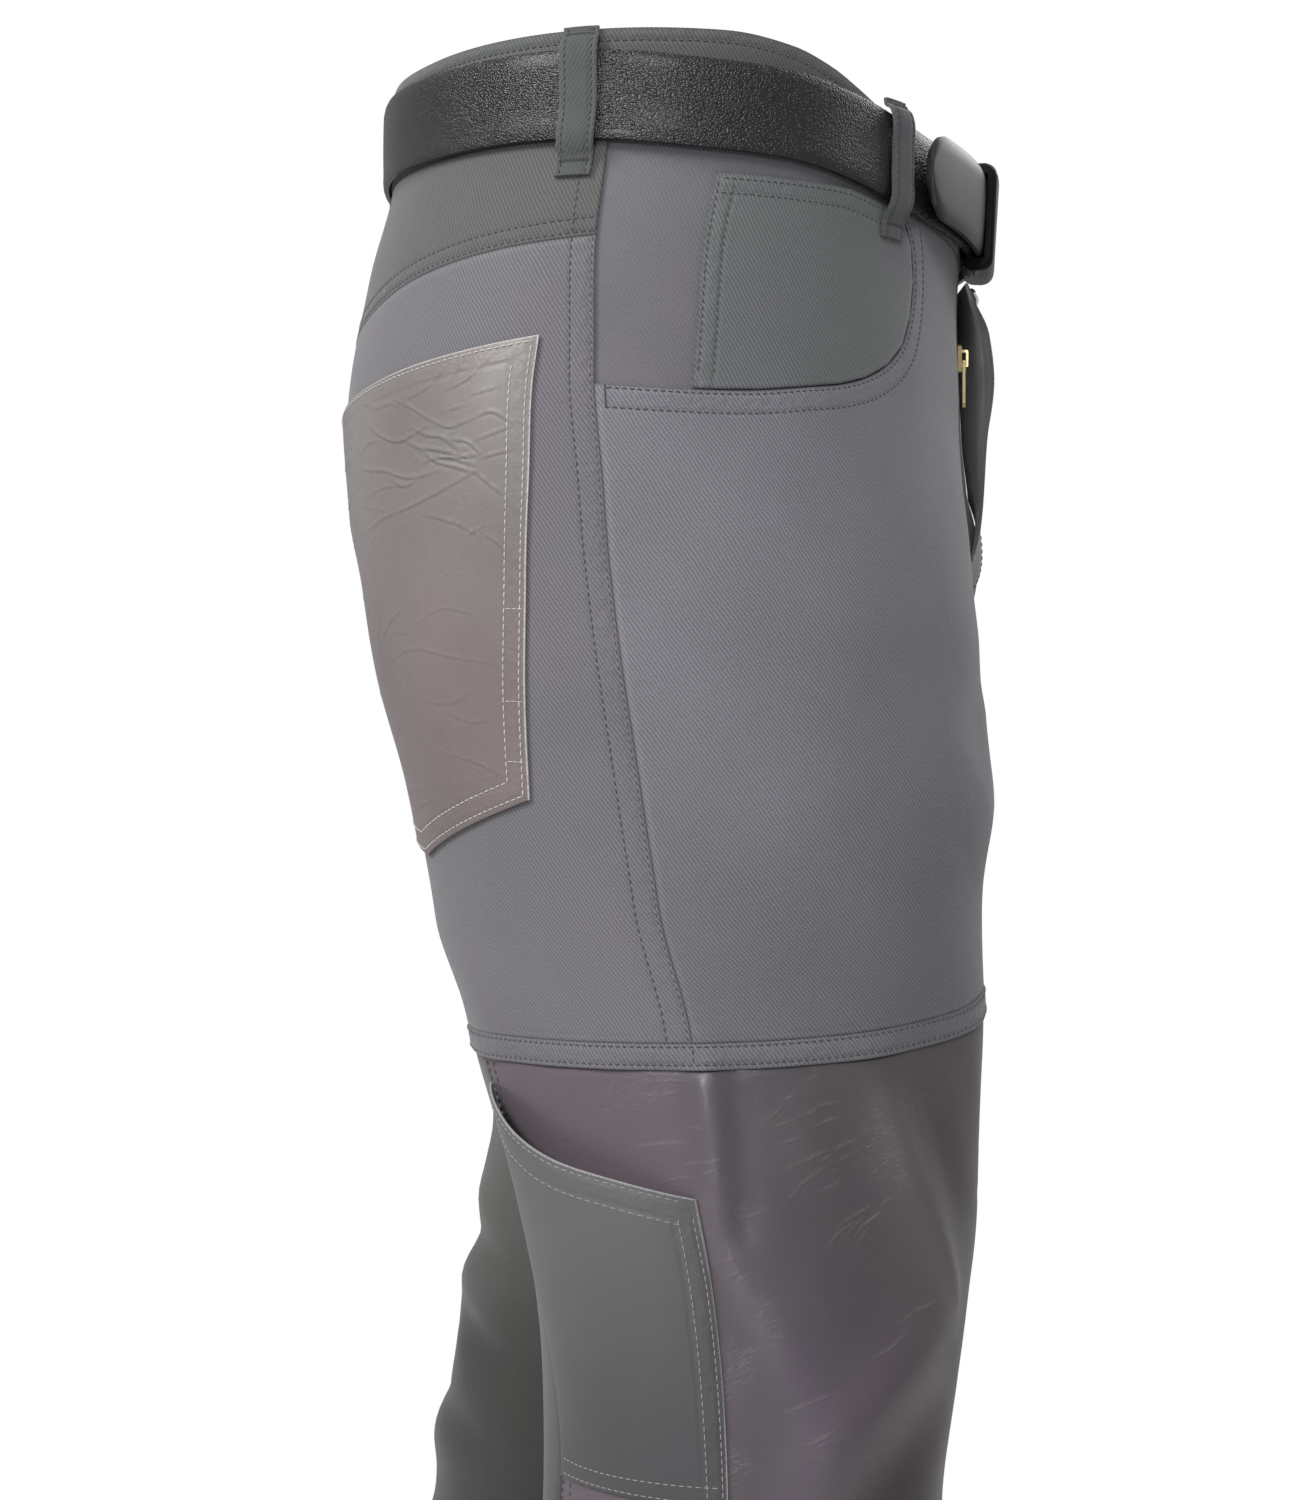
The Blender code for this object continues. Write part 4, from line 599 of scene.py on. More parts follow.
def without_repeats(outline):
    """The outline without points that repeat the one before."""
    kept = []
    for point in outline:
        if not kept or math.dist(point, kept[-1]) > 0.05:
            kept.append(point)
    if math.dist(kept[0], kept[-1]) <= 0.05:
        kept.pop()
    return kept


def segments_of(lines):
    """Start and end points of every stretch of some lines."""
    starts = np.concatenate([np.array(line)[:-1] for line in lines])
    ends = np.concatenate([np.array(line)[1:] for line in lines])
    return starts, ends


def distance_to(points, starts, ends):
    """Distance from each point to the nearest stretch."""
    span = ends - starts
    square = np.maximum(np.sum(span * span, axis=1), 1e-9)
    found = np.empty(len(points))
    for first in range(0, len(points), 2000):
        part = points[first:first + 2000, None, :]
        share = np.clip(np.sum((part - starts) * span, axis=2) / square, 0.0, 1.0)
        nearest = starts + span * share[:, :, None]
        found[first:first + 2000] = np.linalg.norm(part - nearest, axis=2).min(axis=1)
    return found


def inside_of(points, outline):
    """Which points lie inside the outline."""
    start = outline
    end = np.roll(outline, -1, axis=0)
    found = np.empty(len(points), dtype=bool)
    rise = np.where(end[:, 1] == start[:, 1], 1.0, end[:, 1] - start[:, 1])
    for first in range(0, len(points), 4000):
        part = points[first:first + 4000]
        level = part[:, 1][:, None]
        crosses = (start[:, 1] > level) != (end[:, 1] > level)
        cut = start[:, 0] + (level - start[:, 1]) * (end[:, 0] - start[:, 0]) / rise
        found[first:first + 4000] = (crosses & (cut > part[:, 0][:, None])).sum(axis=1) % 2 == 1
    return found


def near_creases(creases):
    """Points on and beside the creases, close enough together to carry them."""
    rows = []
    for _, wide, line in creases:
        path = smooth_line(line, 1.3)
        shares = (-2.6, -1.3, -0.6, 0.0, 0.6, 1.3, 2.6)
        rows += [offset_line(path, share * wide) for share in shares]
    points = np.concatenate(rows)
    _, kept = np.unique(np.round(points / 0.6), axis=0, return_index=True)
    return points[kept]


def pattern(outline, grid, extra=None):
    """Triangles that fill an outline: points on the flat cut, triangles, and the outline."""
    edge = inset(without_repeats(outline), SEAM_HALF)
    low = edge.min(axis=0)
    high = edge.max(axis=0)
    rows = np.arange(math.floor(low[1] / grid), math.ceil(high[1] / grid) + 1)
    columns = np.arange(math.floor(low[0] / grid) - 1, math.ceil(high[0] / grid) + 1)
    row, column = np.meshgrid(rows, columns, indexing="ij")
    s = (column + 0.5 * (row % 2)) * grid
    points = np.stack([s.ravel(), row.ravel() * grid], axis=1)
    points = points[inside_of(points, edge)]
    starts = edge
    ends = np.roll(edge, -1, axis=0)
    points = points[distance_to(points, starts, ends) > EDGE_RING + 0.45 * grid]
    if extra is not None:
        extra = extra[inside_of(extra, edge)]
        extra = extra[distance_to(extra, starts, ends) > EDGE_RING + 0.6]
        points = points[distance_to(points, extra, extra) > 1.3]
        points = np.concatenate([points, extra])
    ring = inset([tuple(point) for point in edge], EDGE_RING)
    keep = inside_of(ring, edge) & (distance_to(ring, starts, ends) > 0.8 * EDGE_RING)
    flat = [Vector(point) for point in np.concatenate([edge, ring[keep], points])]
    filled = delaunay_2d_cdt(flat, [], [list(range(len(edge)))], 1, 1e-5)
    corners = np.array([tuple(point) for point in filled[0]])
    triangles = np.array([tuple(face) for face in filled[2]])
    return corners, triangles, edge


def rim_of(triangles):
    """The directed edges that only one triangle uses."""
    pairs = np.concatenate([triangles[:, [0, 1]], triangles[:, [1, 2]], triangles[:, [2, 0]]])
    size = int(triangles.max()) + 1
    code = pairs[:, 0] * size + pairs[:, 1]
    other = pairs[:, 1] * size + pairs[:, 0]
    return pairs[~np.isin(code, other)]


def mesh_object(name, points, faces, look, flip=False, sharp=50.0):
    """A smooth object from points in millimetres, riding on the trousers' body."""
    mesh = bpy.data.meshes.new(name)
    if flip:
        faces = [face[::-1] for face in faces]
    mesh.from_pydata((np.asarray(points) * MM).tolist(), [], faces)
    mesh.update()
    mesh.shade_smooth()
    mesh.set_sharp_from_angle(angle=math.radians(sharp))
    mesh.materials.append(look)
    made = bpy.data.objects.new(name, mesh)
    bpy.context.scene.collection.objects.link(made)
    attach(made, BODY)
    return made


def set_vector(made, name, values):
    """A vector attribute on the points of an object."""
    attribute = made.data.attributes.new(name, "FLOAT_VECTOR", "POINT")
    attribute.data.foreach_set("vector", np.asarray(values, dtype=np.float32).ravel())


def panel(node, side, outline, inner, outer, grid, look,
          stitched=(), light=(), extra=None, relief=None, soft_edge=False):
    """Thin closed shell of one cut piece, which stands for its solid.

    Its points carry three vectors for the looks. cloth is the place on the cloth as seen from
    outside and the distance from the cut edge. seam is the distances from the stitched lines and
    from the pale cut edges, and the relief. spot is the place on either side and the folds' height.
    stitched are those stitched lines, and light the cut edges that show pale.
    """
    corners, triangles, edge = pattern(outline, grid, extra)
    s = corners[:, 0]
    z = corners[:, 1]
    away = distance_to(corners, edge, np.roll(edge, -1, axis=0))
    top = outer(s, z) if callable(outer) else np.full(len(s), float(outer))
    low = inner(s, z) if callable(inner) else np.full(len(s), float(inner))
    rounding = EDGE_ROUND * np.clip(1.0 - away / EDGE_RING, 0.0, 1.0) ** 2
    raised = top - rounding
    bend = np.zeros(len(s))
    if relief is not None:
        bend = relief(s, z) * np.clip(away / 2.0, 0.0, 1.0)
    raised = raised + bend
    points = np.concatenate([place(side, s, z, raised), place(side, s, z, low)])
    count = len(corners)
    rim = rim_of(triangles)
    faces = triangles.tolist()
    faces += (triangles[:, ::-1] + count).tolist()
    faces += np.stack([rim[:, 1], rim[:, 0], rim[:, 0] + count, rim[:, 1] + count],
                      axis=1).tolist()
    made = mesh_object(node + "_cloth", points, faces, look, flip=side == LEFT)
    row = distance_to(corners, *segments_of(stitched)) if stitched else np.full(count, FAR_AWAY)
    pale = np.full(count, FAR_AWAY)
    if light:
        pale = distance_to(corners, *segments_of(light))
    seen = -side * s
    if soft_edge:
        away = row
    near = [np.minimum(distance, FAR_AWAY) for distance in (away, row, pale)]
    for name, values in (("cloth", (seen, z, near[0])), ("seam", (near[1], near[2], bend)),
                         ("spot", (s, z, fold_height(side, s, z)))):
        set_vector(made, name, np.tile(np.stack(values, axis=1), (2, 1)))
    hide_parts(node)
    after = np.roll(edge, -1, axis=0)
    return made


THREADS = {}
STITCH_SHARES = (-0.5, -0.2, 0.2, 0.5)
FINE_STITCH = {"pitch": 2.9, "length": 2.2}


def sew(thread, side, line, offset, pitch=3.1, length=2.35, radius=0.26):
    """A row of stitches along a line on the cloth."""
    rough = np.array(line, dtype=float)
    reach = np.concatenate([[0.0], np.cumsum(np.linalg.norm(np.diff(rough, axis=0), axis=1))])
    count = max(1, int(reach[-1] / pitch))
    spare = 0.5 * (reach[-1] - count * pitch)
    middle = spare + (np.arange(count) + 0.5) * pitch
    lifts = (-0.16, 0.13, 0.13, -0.16)
    rings = []
    for share, lift in zip(STITCH_SHARES, lifts):
        at = middle + share * length
        s = np.interp(at, reach, rough[:, 0])
        z = np.interp(at, reach, rough[:, 1])
        level = offset(s, z) if callable(offset) else np.full(count, float(offset))
        rings.append(place(side, s, z, level + lift))
    over = place(side, s, z, level + 1.0) - place(side, s, z, level)
    add_stitches(thread, rings, over, radius)


def add_stitches(thread, rings, over, radius):
    """Stitches from four rows of middle points and their outward directions."""
    count = len(over)
    tangent = rings[3] - rings[0]
    tangent = tangent / np.linalg.norm(tangent, axis=1)[:, None]
    normal = over - tangent * np.sum(over * tangent, axis=1)[:, None]
    normal = normal / np.linalg.norm(normal, axis=1)[:, None]
    across = np.cross(tangent, normal)
    sides = 5
    points = []
    for ring, size in zip(rings, (0.55, 1.0, 1.0, 0.55)):
        for k in range(sides):
            angle = 2.0 * math.pi * k / sides
            points.append(ring + (normal * math.cos(angle) + across * math.sin(angle))
                          * radius * size)
    points = np.stack(points, axis=1)
    faces = []
    for i in range(3):
        for k in range(sides):
            n = (k + 1) % sides
            faces.append((i * sides + k, i * sides + n, (i + 1) * sides + n, (i + 1) * sides + k))
    ends = [tuple(range(sides))[::-1], tuple(range(3 * sides, 4 * sides))]
    THREADS.setdefault(thread, []).append((points.reshape(-1, 3), count, faces, ends, 4 * sides))


def finish_threads(looks):
    """One object for each thread, from all of its stitches."""
    for thread, parts in THREADS.items():
        points = []
        faces = []
        start = 0
        for part, count, quads, ends, size in parts:
            points.append(part)
            shifts = start + np.arange(count)[:, None, None] * size
            faces += (np.array(quads)[None] + shifts).reshape(-1, 4).tolist()
            faces += (np.array(ends)[None] + shifts).reshape(-1, len(ends[0])).tolist()
            start += len(part)
        mesh_object("stitches_" + thread, np.concatenate(points), faces, looks[thread],
                    sharp=80.0)


class Look:
    """A material whose node tree is written in short calls."""

    def __init__(self, name, **fixed):
        self.material = bpy.data.materials.new(name)
        self.material.use_nodes = True
        self.tree = self.material.node_tree
        self.shader = self.tree.nodes["Principled BSDF"]
        for socket, value in fixed.items():
            self.shader.inputs[socket.replace("_", " ")].default_value = value

    def put(self, socket, value):
        """Link an output, or set a value."""
        if isinstance(value, bpy.types.NodeSocket):
            self.tree.links.new(value, socket)
        else:
            socket.default_value = value

    def vector(self, name):
        """x, y and z of a vector attribute."""
        source = self.tree.nodes.new("ShaderNodeAttribute")
        source.attribute_name = name
        parts = self.tree.nodes.new("ShaderNodeSeparateXYZ")
        self.tree.links.new(source.outputs["Vector"], parts.inputs[0])
        return parts.outputs[0], parts.outputs[1], parts.outputs[2]

    def own_place(self):
        """Place in the object's own measures."""
        return self.tree.nodes.new("ShaderNodeTexCoord").outputs["Object"]

    def math(self, operation, *values):
        """One Math node."""
        node = self.tree.nodes.new("ShaderNodeMath")
        node.operation = operation
        for socket, value in zip(node.inputs, values):
            self.put(socket, value)
        return node.outputs[0]

    def add(self, *values):
        """Sum of the values."""
        total = values[0]
        for value in values[1:]:
            total = self.math("ADD", total, value)
        return total

    def times(self, *values):
        """Product of the values."""
        total = values[0]
        for value in values[1:]:
            total = self.math("MULTIPLY", total, value)
        return total

    def step(self, value, low, high, to_low=0.0, to_high=1.0):
        """Smooth step of a value between two levels."""
        node = self.tree.nodes.new("ShaderNodeMapRange")
        node.interpolation_type = "SMOOTHSTEP"
        self.put(node.inputs["Value"], value)
        node.inputs["From Min"].default_value = low
        node.inputs["From Max"].default_value = high
        node.inputs["To Min"].default_value = to_low
        node.inputs["To Max"].default_value = to_high
        return node.outputs["Result"]

    def join(self, x, y, z=0.0):
        """A vector from three values."""
        node = self.tree.nodes.new("ShaderNodeCombineXYZ")
        for socket, value in zip(node.inputs, (x, y, z)):
            self.put(socket, value)
        return node.outputs[0]

    def noise(self, where, scale, detail=2.0, rough=0.5, distort=0.0):
        """Noise from zero to one at a place."""
        node = self.tree.nodes.new("ShaderNodeTexNoise")
        self.tree.links.new(where, node.inputs["Vector"])
        node.inputs["Scale"].default_value = scale
        node.inputs["Detail"].default_value = detail
        node.inputs["Roughness"].default_value = rough
        node.inputs["Distortion"].default_value = distort
        return node.outputs["Fac"]

    def cells(self, where, scale, random=1.0):
        """Distance to the middle of the nearest cell."""
        node = self.tree.nodes.new("ShaderNodeTexVoronoi")
        self.tree.links.new(where, node.inputs["Vector"])
        node.inputs["Scale"].default_value = scale
        node.inputs["Randomness"].default_value = random
        return node.outputs["Distance"]

    def mix(self, share, first, second):
        """Colour between two colours."""
        node = self.tree.nodes.new("ShaderNodeMix")
        node.data_type = "RGBA"
        self.put(node.inputs[0], share)
        for socket, colour in ((node.inputs[6], first), (node.inputs[7], second)):
            linked = isinstance(colour, bpy.types.NodeSocket)
            self.put(socket, colour if linked else (*colour, 1.0))
        return node.outputs[2]

    def scale_colour(self, colour, factor):
        """A colour made lighter or darker by a value."""
        node = self.tree.nodes.new("ShaderNodeVectorMath")
        node.operation = "SCALE"
        self.put(node.inputs[0], colour)
        self.put(node.inputs["Scale"], factor)
        return node.outputs[0]

    def finish(self, colour, rough, height=None, strength=1.0):
        """Link colour, roughness and a height in millimetres."""
        self.put(self.shader.inputs["Base Color"], colour)
        self.put(self.shader.inputs["Roughness"], rough)
        if height is not None:
            bump = self.tree.nodes.new("ShaderNodeBump")
            bump.inputs["Strength"].default_value = strength
            bump.inputs["Distance"].default_value = MM
            self.tree.links.new(height, bump.inputs["Height"])
            self.tree.links.new(bump.outputs["Normal"], self.shader.inputs["Normal"])
        return self.material


def seam_height(look, row, rows, s, z):
    """Height of the cloth beside stitched lines: soft troughs with small puckers."""
    across = look.join(look.times(s, 0.16), look.times(z, 0.16), 0.0)
    pucker = look.noise(across, 1.6, 2.0)
    level = None
    for at in rows:
        off = look.math("ABSOLUTE", look.math("SUBTRACT", row, at))
        trough = look.times(look.step(off, 0.0, 1.9, 1.0, 0.0), -0.34)
        trough = look.times(trough, look.step(pucker, 0.25, 0.75, 0.35, 1.25))
        level = trough if level is None else look.add(level, trough)
    last = max(rows)
    near = look.step(row, 0.0, last + 7.0, 1.0, 0.0)
    swell = look.times(look.math("SUBTRACT", pucker, 0.5), near, 0.9)
    return look.add(level, swell)


def twill(name, colour, rows=(1.5, 9.0), contrast=0.44, painted_thigh_shade=False, low=1.0):
    """Grey cotton twill with its diagonal, heathered threads and stitched edges.

    With thigh shading on, painted shade darkens the thigh low down and towards the front; low under
    one paints shade towards the knee and painted light above.
    """
    look = Look(name, Sheen_Weight=0.22, Sheen_Roughness=0.45, Specular_IOR_Level=0.30)
    s, z, edge = look.vector("cloth")
    row, _, _ = look.vector("seam")
    flat = look.join(s, z)
    bend = look.noise(flat, 0.045, 2.0)
    across = look.add(look.times(s, 0.86), look.times(z, 0.51), look.times(bend, 3.0))
    along = look.add(look.times(s, -0.51), look.times(z, 0.86))
    line = look.math("SINE", look.times(across, 2.0 * math.pi / 1.45))
    thread = look.math("SINE", look.add(look.times(along, 2.0 * math.pi / 1.15),
                                        look.times(line, 1.3)))
    weave = look.add(look.times(line, 0.5), look.times(thread, 0.22), 0.5)
    heather = look.noise(flat, 0.9, 4.0, 0.75)
    slub = look.noise(look.join(look.times(s, 0.10), look.times(z, 1.3)), 1.0, 2.0)
    cloud = look.noise(flat, 0.016, 3.0, 0.6)
    light = look.add(look.times(weave, contrast), look.times(heather, 0.44),
                     look.times(slub, 0.12), look.times(cloud, 0.26), 1.0 - contrast / 2.0 - 0.41)
    # Painted shade along the seams: the colour darkens within 0.8 mm of the cut edge.
    seam_painted_shade = look.step(edge, 0.0, 0.8, 0.62, 1.0)
    rubbed = look.step(look.math("ABSOLUTE", look.math("SUBTRACT", edge, 1.8)), 0.0, 1.4, 0.10, 0.0)
    around, _, fold = look.vector("spot")
    # Painted light and shade on the folds: the fold height makes ridges lighter and hollows darker.
    # The rubbed band is real wear.
    light = look.times(light, seam_painted_shade, look.add(rubbed, 1.0),
                       look.add(look.times(fold, 0.035), 1.0))
    # Painted shade on the thigh: darker lower down and towards the front.
    if painted_thigh_shade:
        light = look.times(light, look.step(z, -350.0, -220.0, 0.80, 1.0),
                           look.step(around, 110.0, 215.0, 1.0, 0.80))
    # Painted shade towards the knee and painted light above it.
    if low != 1.0:
        light = look.times(light, look.step(z, -560.0, -430.0, low, 1.38))
    tint = look.mix(look.step(look.noise(flat, 0.012, 2.0), 0.35, 0.65),
                    (colour[0] * 1.015, colour[1] * 0.99, colour[2] * 1.02),
                    (colour[0] * 0.985, colour[1] * 1.01, colour[2] * 0.99))
    height = look.add(look.times(weave, 0.085), look.times(heather, 0.05))
    height = look.add(height, seam_height(look, row, rows, s, z))
    rough = look.add(0.80, look.times(heather, 0.12))
    return look.finish(look.scale_colour(tint, light), rough, height)


def scratches(look, s, z, size, tilt, thin):
    """Thin broken lines that run mostly along the cloth's width."""
    along = look.add(look.times(s, 0.10 * size), look.times(z, 0.10 * size * tilt))
    across = look.add(look.times(z, 0.62 * size), look.times(s, -0.62 * size * tilt))
    lines = look.noise(look.join(along, across), 1.0, 3.0, 0.60, 0.35)
    off = look.math("ABSOLUTE", look.math("SUBTRACT", lines, 0.5))
    return look.step(off, 0.0, thin, 1.0, 0.0)


def leather_leg():
    """Smooth purple-brown leather-look cloth with a fine grain, small scratches, and painted light
    and shade.
    """
    look = Look("leather_leg_look", Specular_IOR_Level=0.62, Sheen_Weight=0.06,
                Sheen_Roughness=0.5)
    s, z, edge = look.vector("cloth")
    around, _, fold = look.vector("spot")
    row, _, crease = look.vector("seam")
    flat = look.join(s, z)
    grain = look.cells(flat, 0.62)
    fine = look.noise(flat, 0.9, 3.0, 0.6)
    cloud = look.noise(flat, 0.014, 3.0, 0.6)
    tone = look.noise(flat, 0.010, 2.0)
    scratch = look.times(scratches(look, s, z, 0.9, 0.42, 0.020),
                         look.step(look.noise(flat, 0.022, 2.0), 0.50, 0.66), 0.5)
    # Painted highlight: the crinkles' relief lightens the colour on their ridges.
    lit = look.math("MAXIMUM", crease, 0.0)
    # Masks for painted light and shade by place: shade towards the front and low on the front,
    # light behind the side seam.
    front = look.step(around, 30.0, 130.0)
    low = look.times(look.step(z, -545.0, -455.0, 1.0, 0.0), look.step(around, 15.0, 80.0))
    behind = look.step(around, -14.0, 2.0, 1.0, 0.0)
    colour = look.mix(look.step(tone, 0.35, 0.65), (0.082, 0.066, 0.084), (0.074, 0.064, 0.070))
    # Painted shade: darker brown towards the front.
    colour = look.mix(look.times(front, 0.75), colour, (0.062, 0.050, 0.046))
    # Painted shade low on the front of the leg.
    colour = look.mix(low, colour, (0.034, 0.021, 0.024))
    # Painted light: a lighter, pinker strip behind the side seam.
    colour = look.mix(look.times(behind, 0.7), colour, (0.112, 0.088, 0.108))
    # Painted light and shade: crinkle and fold ridges lighter, fold hollows darker. The scratches
    # are real wear.
    light = look.add(0.84, look.times(cloud, 0.24), look.times(fine, 0.10),
                     look.times(scratch, 0.30), look.times(lit, 2.6), look.times(fold, 0.070))
    # Painted shade along the cut edges and seams: darker within 1 mm of the edge.
    light = look.times(light, look.step(edge, 0.0, 1.0, 0.5, 1.0))
    height = look.add(look.times(grain, 0.05), look.times(fine, 0.05), look.times(scratch, 0.14))
    height = look.add(height, seam_height(look, row, (1.5,), s, z))
    rough = look.add(0.24, look.times(fine, 0.10), look.times(cloud, 0.08))
    return look.finish(look.scale_colour(colour, light), rough, height, 0.8)


def leather_pocket(name, first, second, low, reach, cut, wrinkle, rows, smooth):
    """Leather-look patch cloth with pale cut edges, and creases whose ridges carry a painted
    highlight and whose grooves a painted shade.

    low is its colour lower down, from the first height of reach to the second, darker there as
    painted shade, and cut is the colour of its cut edges.
    """
    look = Look(name, Specular_IOR_Level=0.45, Sheen_Weight=0.10, Sheen_Roughness=0.5)
    s, z, edge = look.vector("cloth")
    row, pale, crease = look.vector("seam")
    flat = look.join(s, z)
    fine = look.noise(flat, 0.8, 3.0, 0.6)
    cloud = look.noise(flat, 0.020, 3.0, 0.6)
    tone = look.noise(flat, 0.013, 2.0)
    lines = look.times(scratches(look, s, z, 0.9, 0.30, 0.016), look.step(cloud, 0.46, 0.60))
    second_lines = look.times(scratches(look, s, z, 0.6, -0.45, 0.012),
                              look.step(tone, 0.48, 0.62))
    lines = look.times(look.math("MAXIMUM", lines, second_lines), wrinkle)
    colour = look.mix(look.step(tone, 0.35, 0.65), first, second)
    # Painted shade: the colour turns to the darker low colour lower down.
    colour = look.mix(look.step(z, reach[1], reach[0], 1.0, 0.0), colour, low)
    # Painted highlight on the fine wrinkle lines, and painted light and shade on the creases:
    # ridges lighter, grooves darker.
    light = look.add(0.84, look.times(cloud, 0.24), look.times(fine, 0.08), look.times(lines, 0.20),
                     look.times(crease, 0.42 * wrinkle))
    # Painted shade along the cut edges and seams.
    light = look.times(light, look.step(edge, 0.0, 0.8, 0.75, 1.0))
    colour = look.scale_colour(colour, light)
    fuzz = look.noise(flat, 1.4, 3.0, 0.7)
    fray = look.add(pale, look.times(fuzz, 1.3))
    colour = look.mix(look.step(fray, 0.8, 1.4, 0.9, 0.0), colour, cut)
    height = look.add(look.times(fine, 0.05), look.times(lines, 0.14))
    height = look.add(height, seam_height(look, row, rows, s, z))
    rough = look.add(smooth, look.times(fine, 0.12), look.times(cloud, 0.08))
    return look.finish(colour, rough, height, 0.8)


def thread_look(name, colour):
    """Sewing thread with a twist."""
    look = Look(name, Sheen_Weight=0.3, Specular_IOR_Level=0.35)
    where = look.own_place()
    fine = look.noise(where, 2500.0, 2.0)
    slow = look.noise(where, 90.0, 2.0)
    light = look.add(0.70, look.times(fine, 0.3), look.times(slow, 0.3))
    return look.finish(look.scale_colour(colour, light), 0.65)


def belt_look():
    """Black pebbled leather with a soft gloss."""
    look = Look("belt_look", Specular_IOR_Level=0.50, Coat_Weight=0.15, Coat_Roughness=0.22)
    s, z, smooth = look.vector("belt")
    flat = look.join(s, z)
    warp = look.noise(flat, 0.30, 2.0)
    moved = look.join(look.add(s, look.times(warp, 1.4)), look.add(z, look.times(warp, 0.9)))
    pebble = look.cells(moved, 1.10, 0.85)
    pebble = look.times(pebble, pebble)
    fine = look.noise(flat, 2.2, 2.0)
    cloud = look.noise(flat, 0.03, 3.0)
    pebbled = look.math("SUBTRACT", 1.0, smooth)
    colour = look.mix(look.step(cloud, 0.35, 0.65), (0.008, 0.008, 0.009), (0.015, 0.012, 0.010))
    # Painted shade: the colour darkens in the grooves between the pebbles.
    light = look.add(0.9, look.times(fine, 0.3), look.times(pebble, pebbled, -0.6),
                     look.times(smooth, 0.7))
    height = look.add(look.times(pebble, pebbled, -0.46), look.times(fine, 0.03))
    rough = look.add(0.23, look.times(fine, 0.08), look.times(smooth, 0.16))
    return look.finish(look.scale_colour(colour, light), rough, height)


def gloss_look(name, colour, rough, metal, ior=1.5):
    """Hard parts: metal or gloss black with slight wear."""
    look = Look(name, Metallic=metal, IOR=ior)
    where = look.own_place()
    slow = look.noise(where, 160.0, 3.0)
    fine = look.noise(where, 1100.0, 3.0, 0.6)
    light = look.add(0.82, look.times(slow, 0.22), look.times(fine, 0.14))
    height = look.add(look.times(slow, 0.05), look.times(fine, 0.012))
    shine = look.add(rough - 0.06, look.times(fine, 0.10), look.times(slow, 0.08))
    return look.finish(look.scale_colour(colour, light), shine, height, 0.4)


def tape_look():
    """Woven zip tape."""
    look = Look("tape_look", Sheen_Weight=0.2, Specular_IOR_Level=0.3)
    s, z, _ = look.vector("cloth")
    rib = look.math("SINE", look.times(z, 2.0 * math.pi / 0.9))
    cord = look.math("SINE", look.times(s, 2.0 * math.pi / 1.1))
    weave = look.add(look.times(rib, 0.25), look.times(cord, 0.25), 0.5)
    light = look.add(0.75, look.times(weave, 0.4))
    return look.finish(look.scale_colour((0.022, 0.023, 0.024), light), 0.85,
                       look.times(weave, 0.10))


def make_waistband(tag, side, look):
    """The shaped band above the waist seam, and its stitching."""
    top = line_at(WAIST_TOP)
    low = line_at(WAIST_LOW)
    top_front = meeting(top, front_edge, 0.0)
    low_front = meeting(low, front_edge, -36.0)
    top_back = meeting(top, back_edge, 30.0)
    low_back = meeting(low, back_edge, -8.0)
    upper = along_round(top, back_edge(top_back), front_edge(top_front), SEAM_STEP)
    lower = along_round(low, front_edge(low_front), back_edge(low_back), SEAM_STEP)
    outline = upper + run([upper[-1], lower[0]], SEAM_STEP)
    outline += lower + run([lower[-1], upper[0]], SEAM_STEP)
    inner = WAISTBAND_PROUD - WAISTBAND_WALL
    panel("waistband_" + tag, side, outline, inner, WAISTBAND_PROUD, 4.0, look,
          stitched=(upper,))
    sew("grey", side, offset_line(upper, -5.0)[1:-1], WAISTBAND_PROUD)
    sew("grey", side, offset_line(lower, -2.0)[1:-1], WAISTBAND_PROUD)


def make_yoke(tag, side, look):
    """The back yoke."""
    low = line_at(WAIST_LOW)
    yoke = line_at(YOKE_LINE)
    low_back = meeting(low, back_edge, -8.0)
    yoke_back = meeting(yoke, back_edge, -88.0)
    seam = along_round(yoke, back_edge(yoke_back), 0.0, SEAM_STEP)
    outline = along_round(low, 0.0, back_edge(low_back), SEAM_STEP)
    outline += along_height(back_edge, low_back, yoke_back, SEAM_STEP)
    outline += seam
    outline += run([outline[-1], outline[0]], SEAM_STEP)
    panel("yoke_" + tag, side, outline, -CLOTH, 0.0, 4.0, look,
          stitched=(seam,))
    for gap in (7.0, 1.6):
        sew("grey", side, offset_line(seam, gap), 0.0)
    ends = [(-SIDE_ROW, float(low(-SIDE_ROW)) - 1.0), (-SIDE_ROW, float(yoke(-SIDE_ROW)))]
    sew("grey", side, run(ends, SEAM_STEP), 0.0)


def rise_heights(start):
    """Heights down the rise to the crotch, closer together where it curves under."""
    count = 22
    return [start + (CROTCH - start) * math.sin(0.5 * math.pi * i / count)
            for i in range(count + 1)]


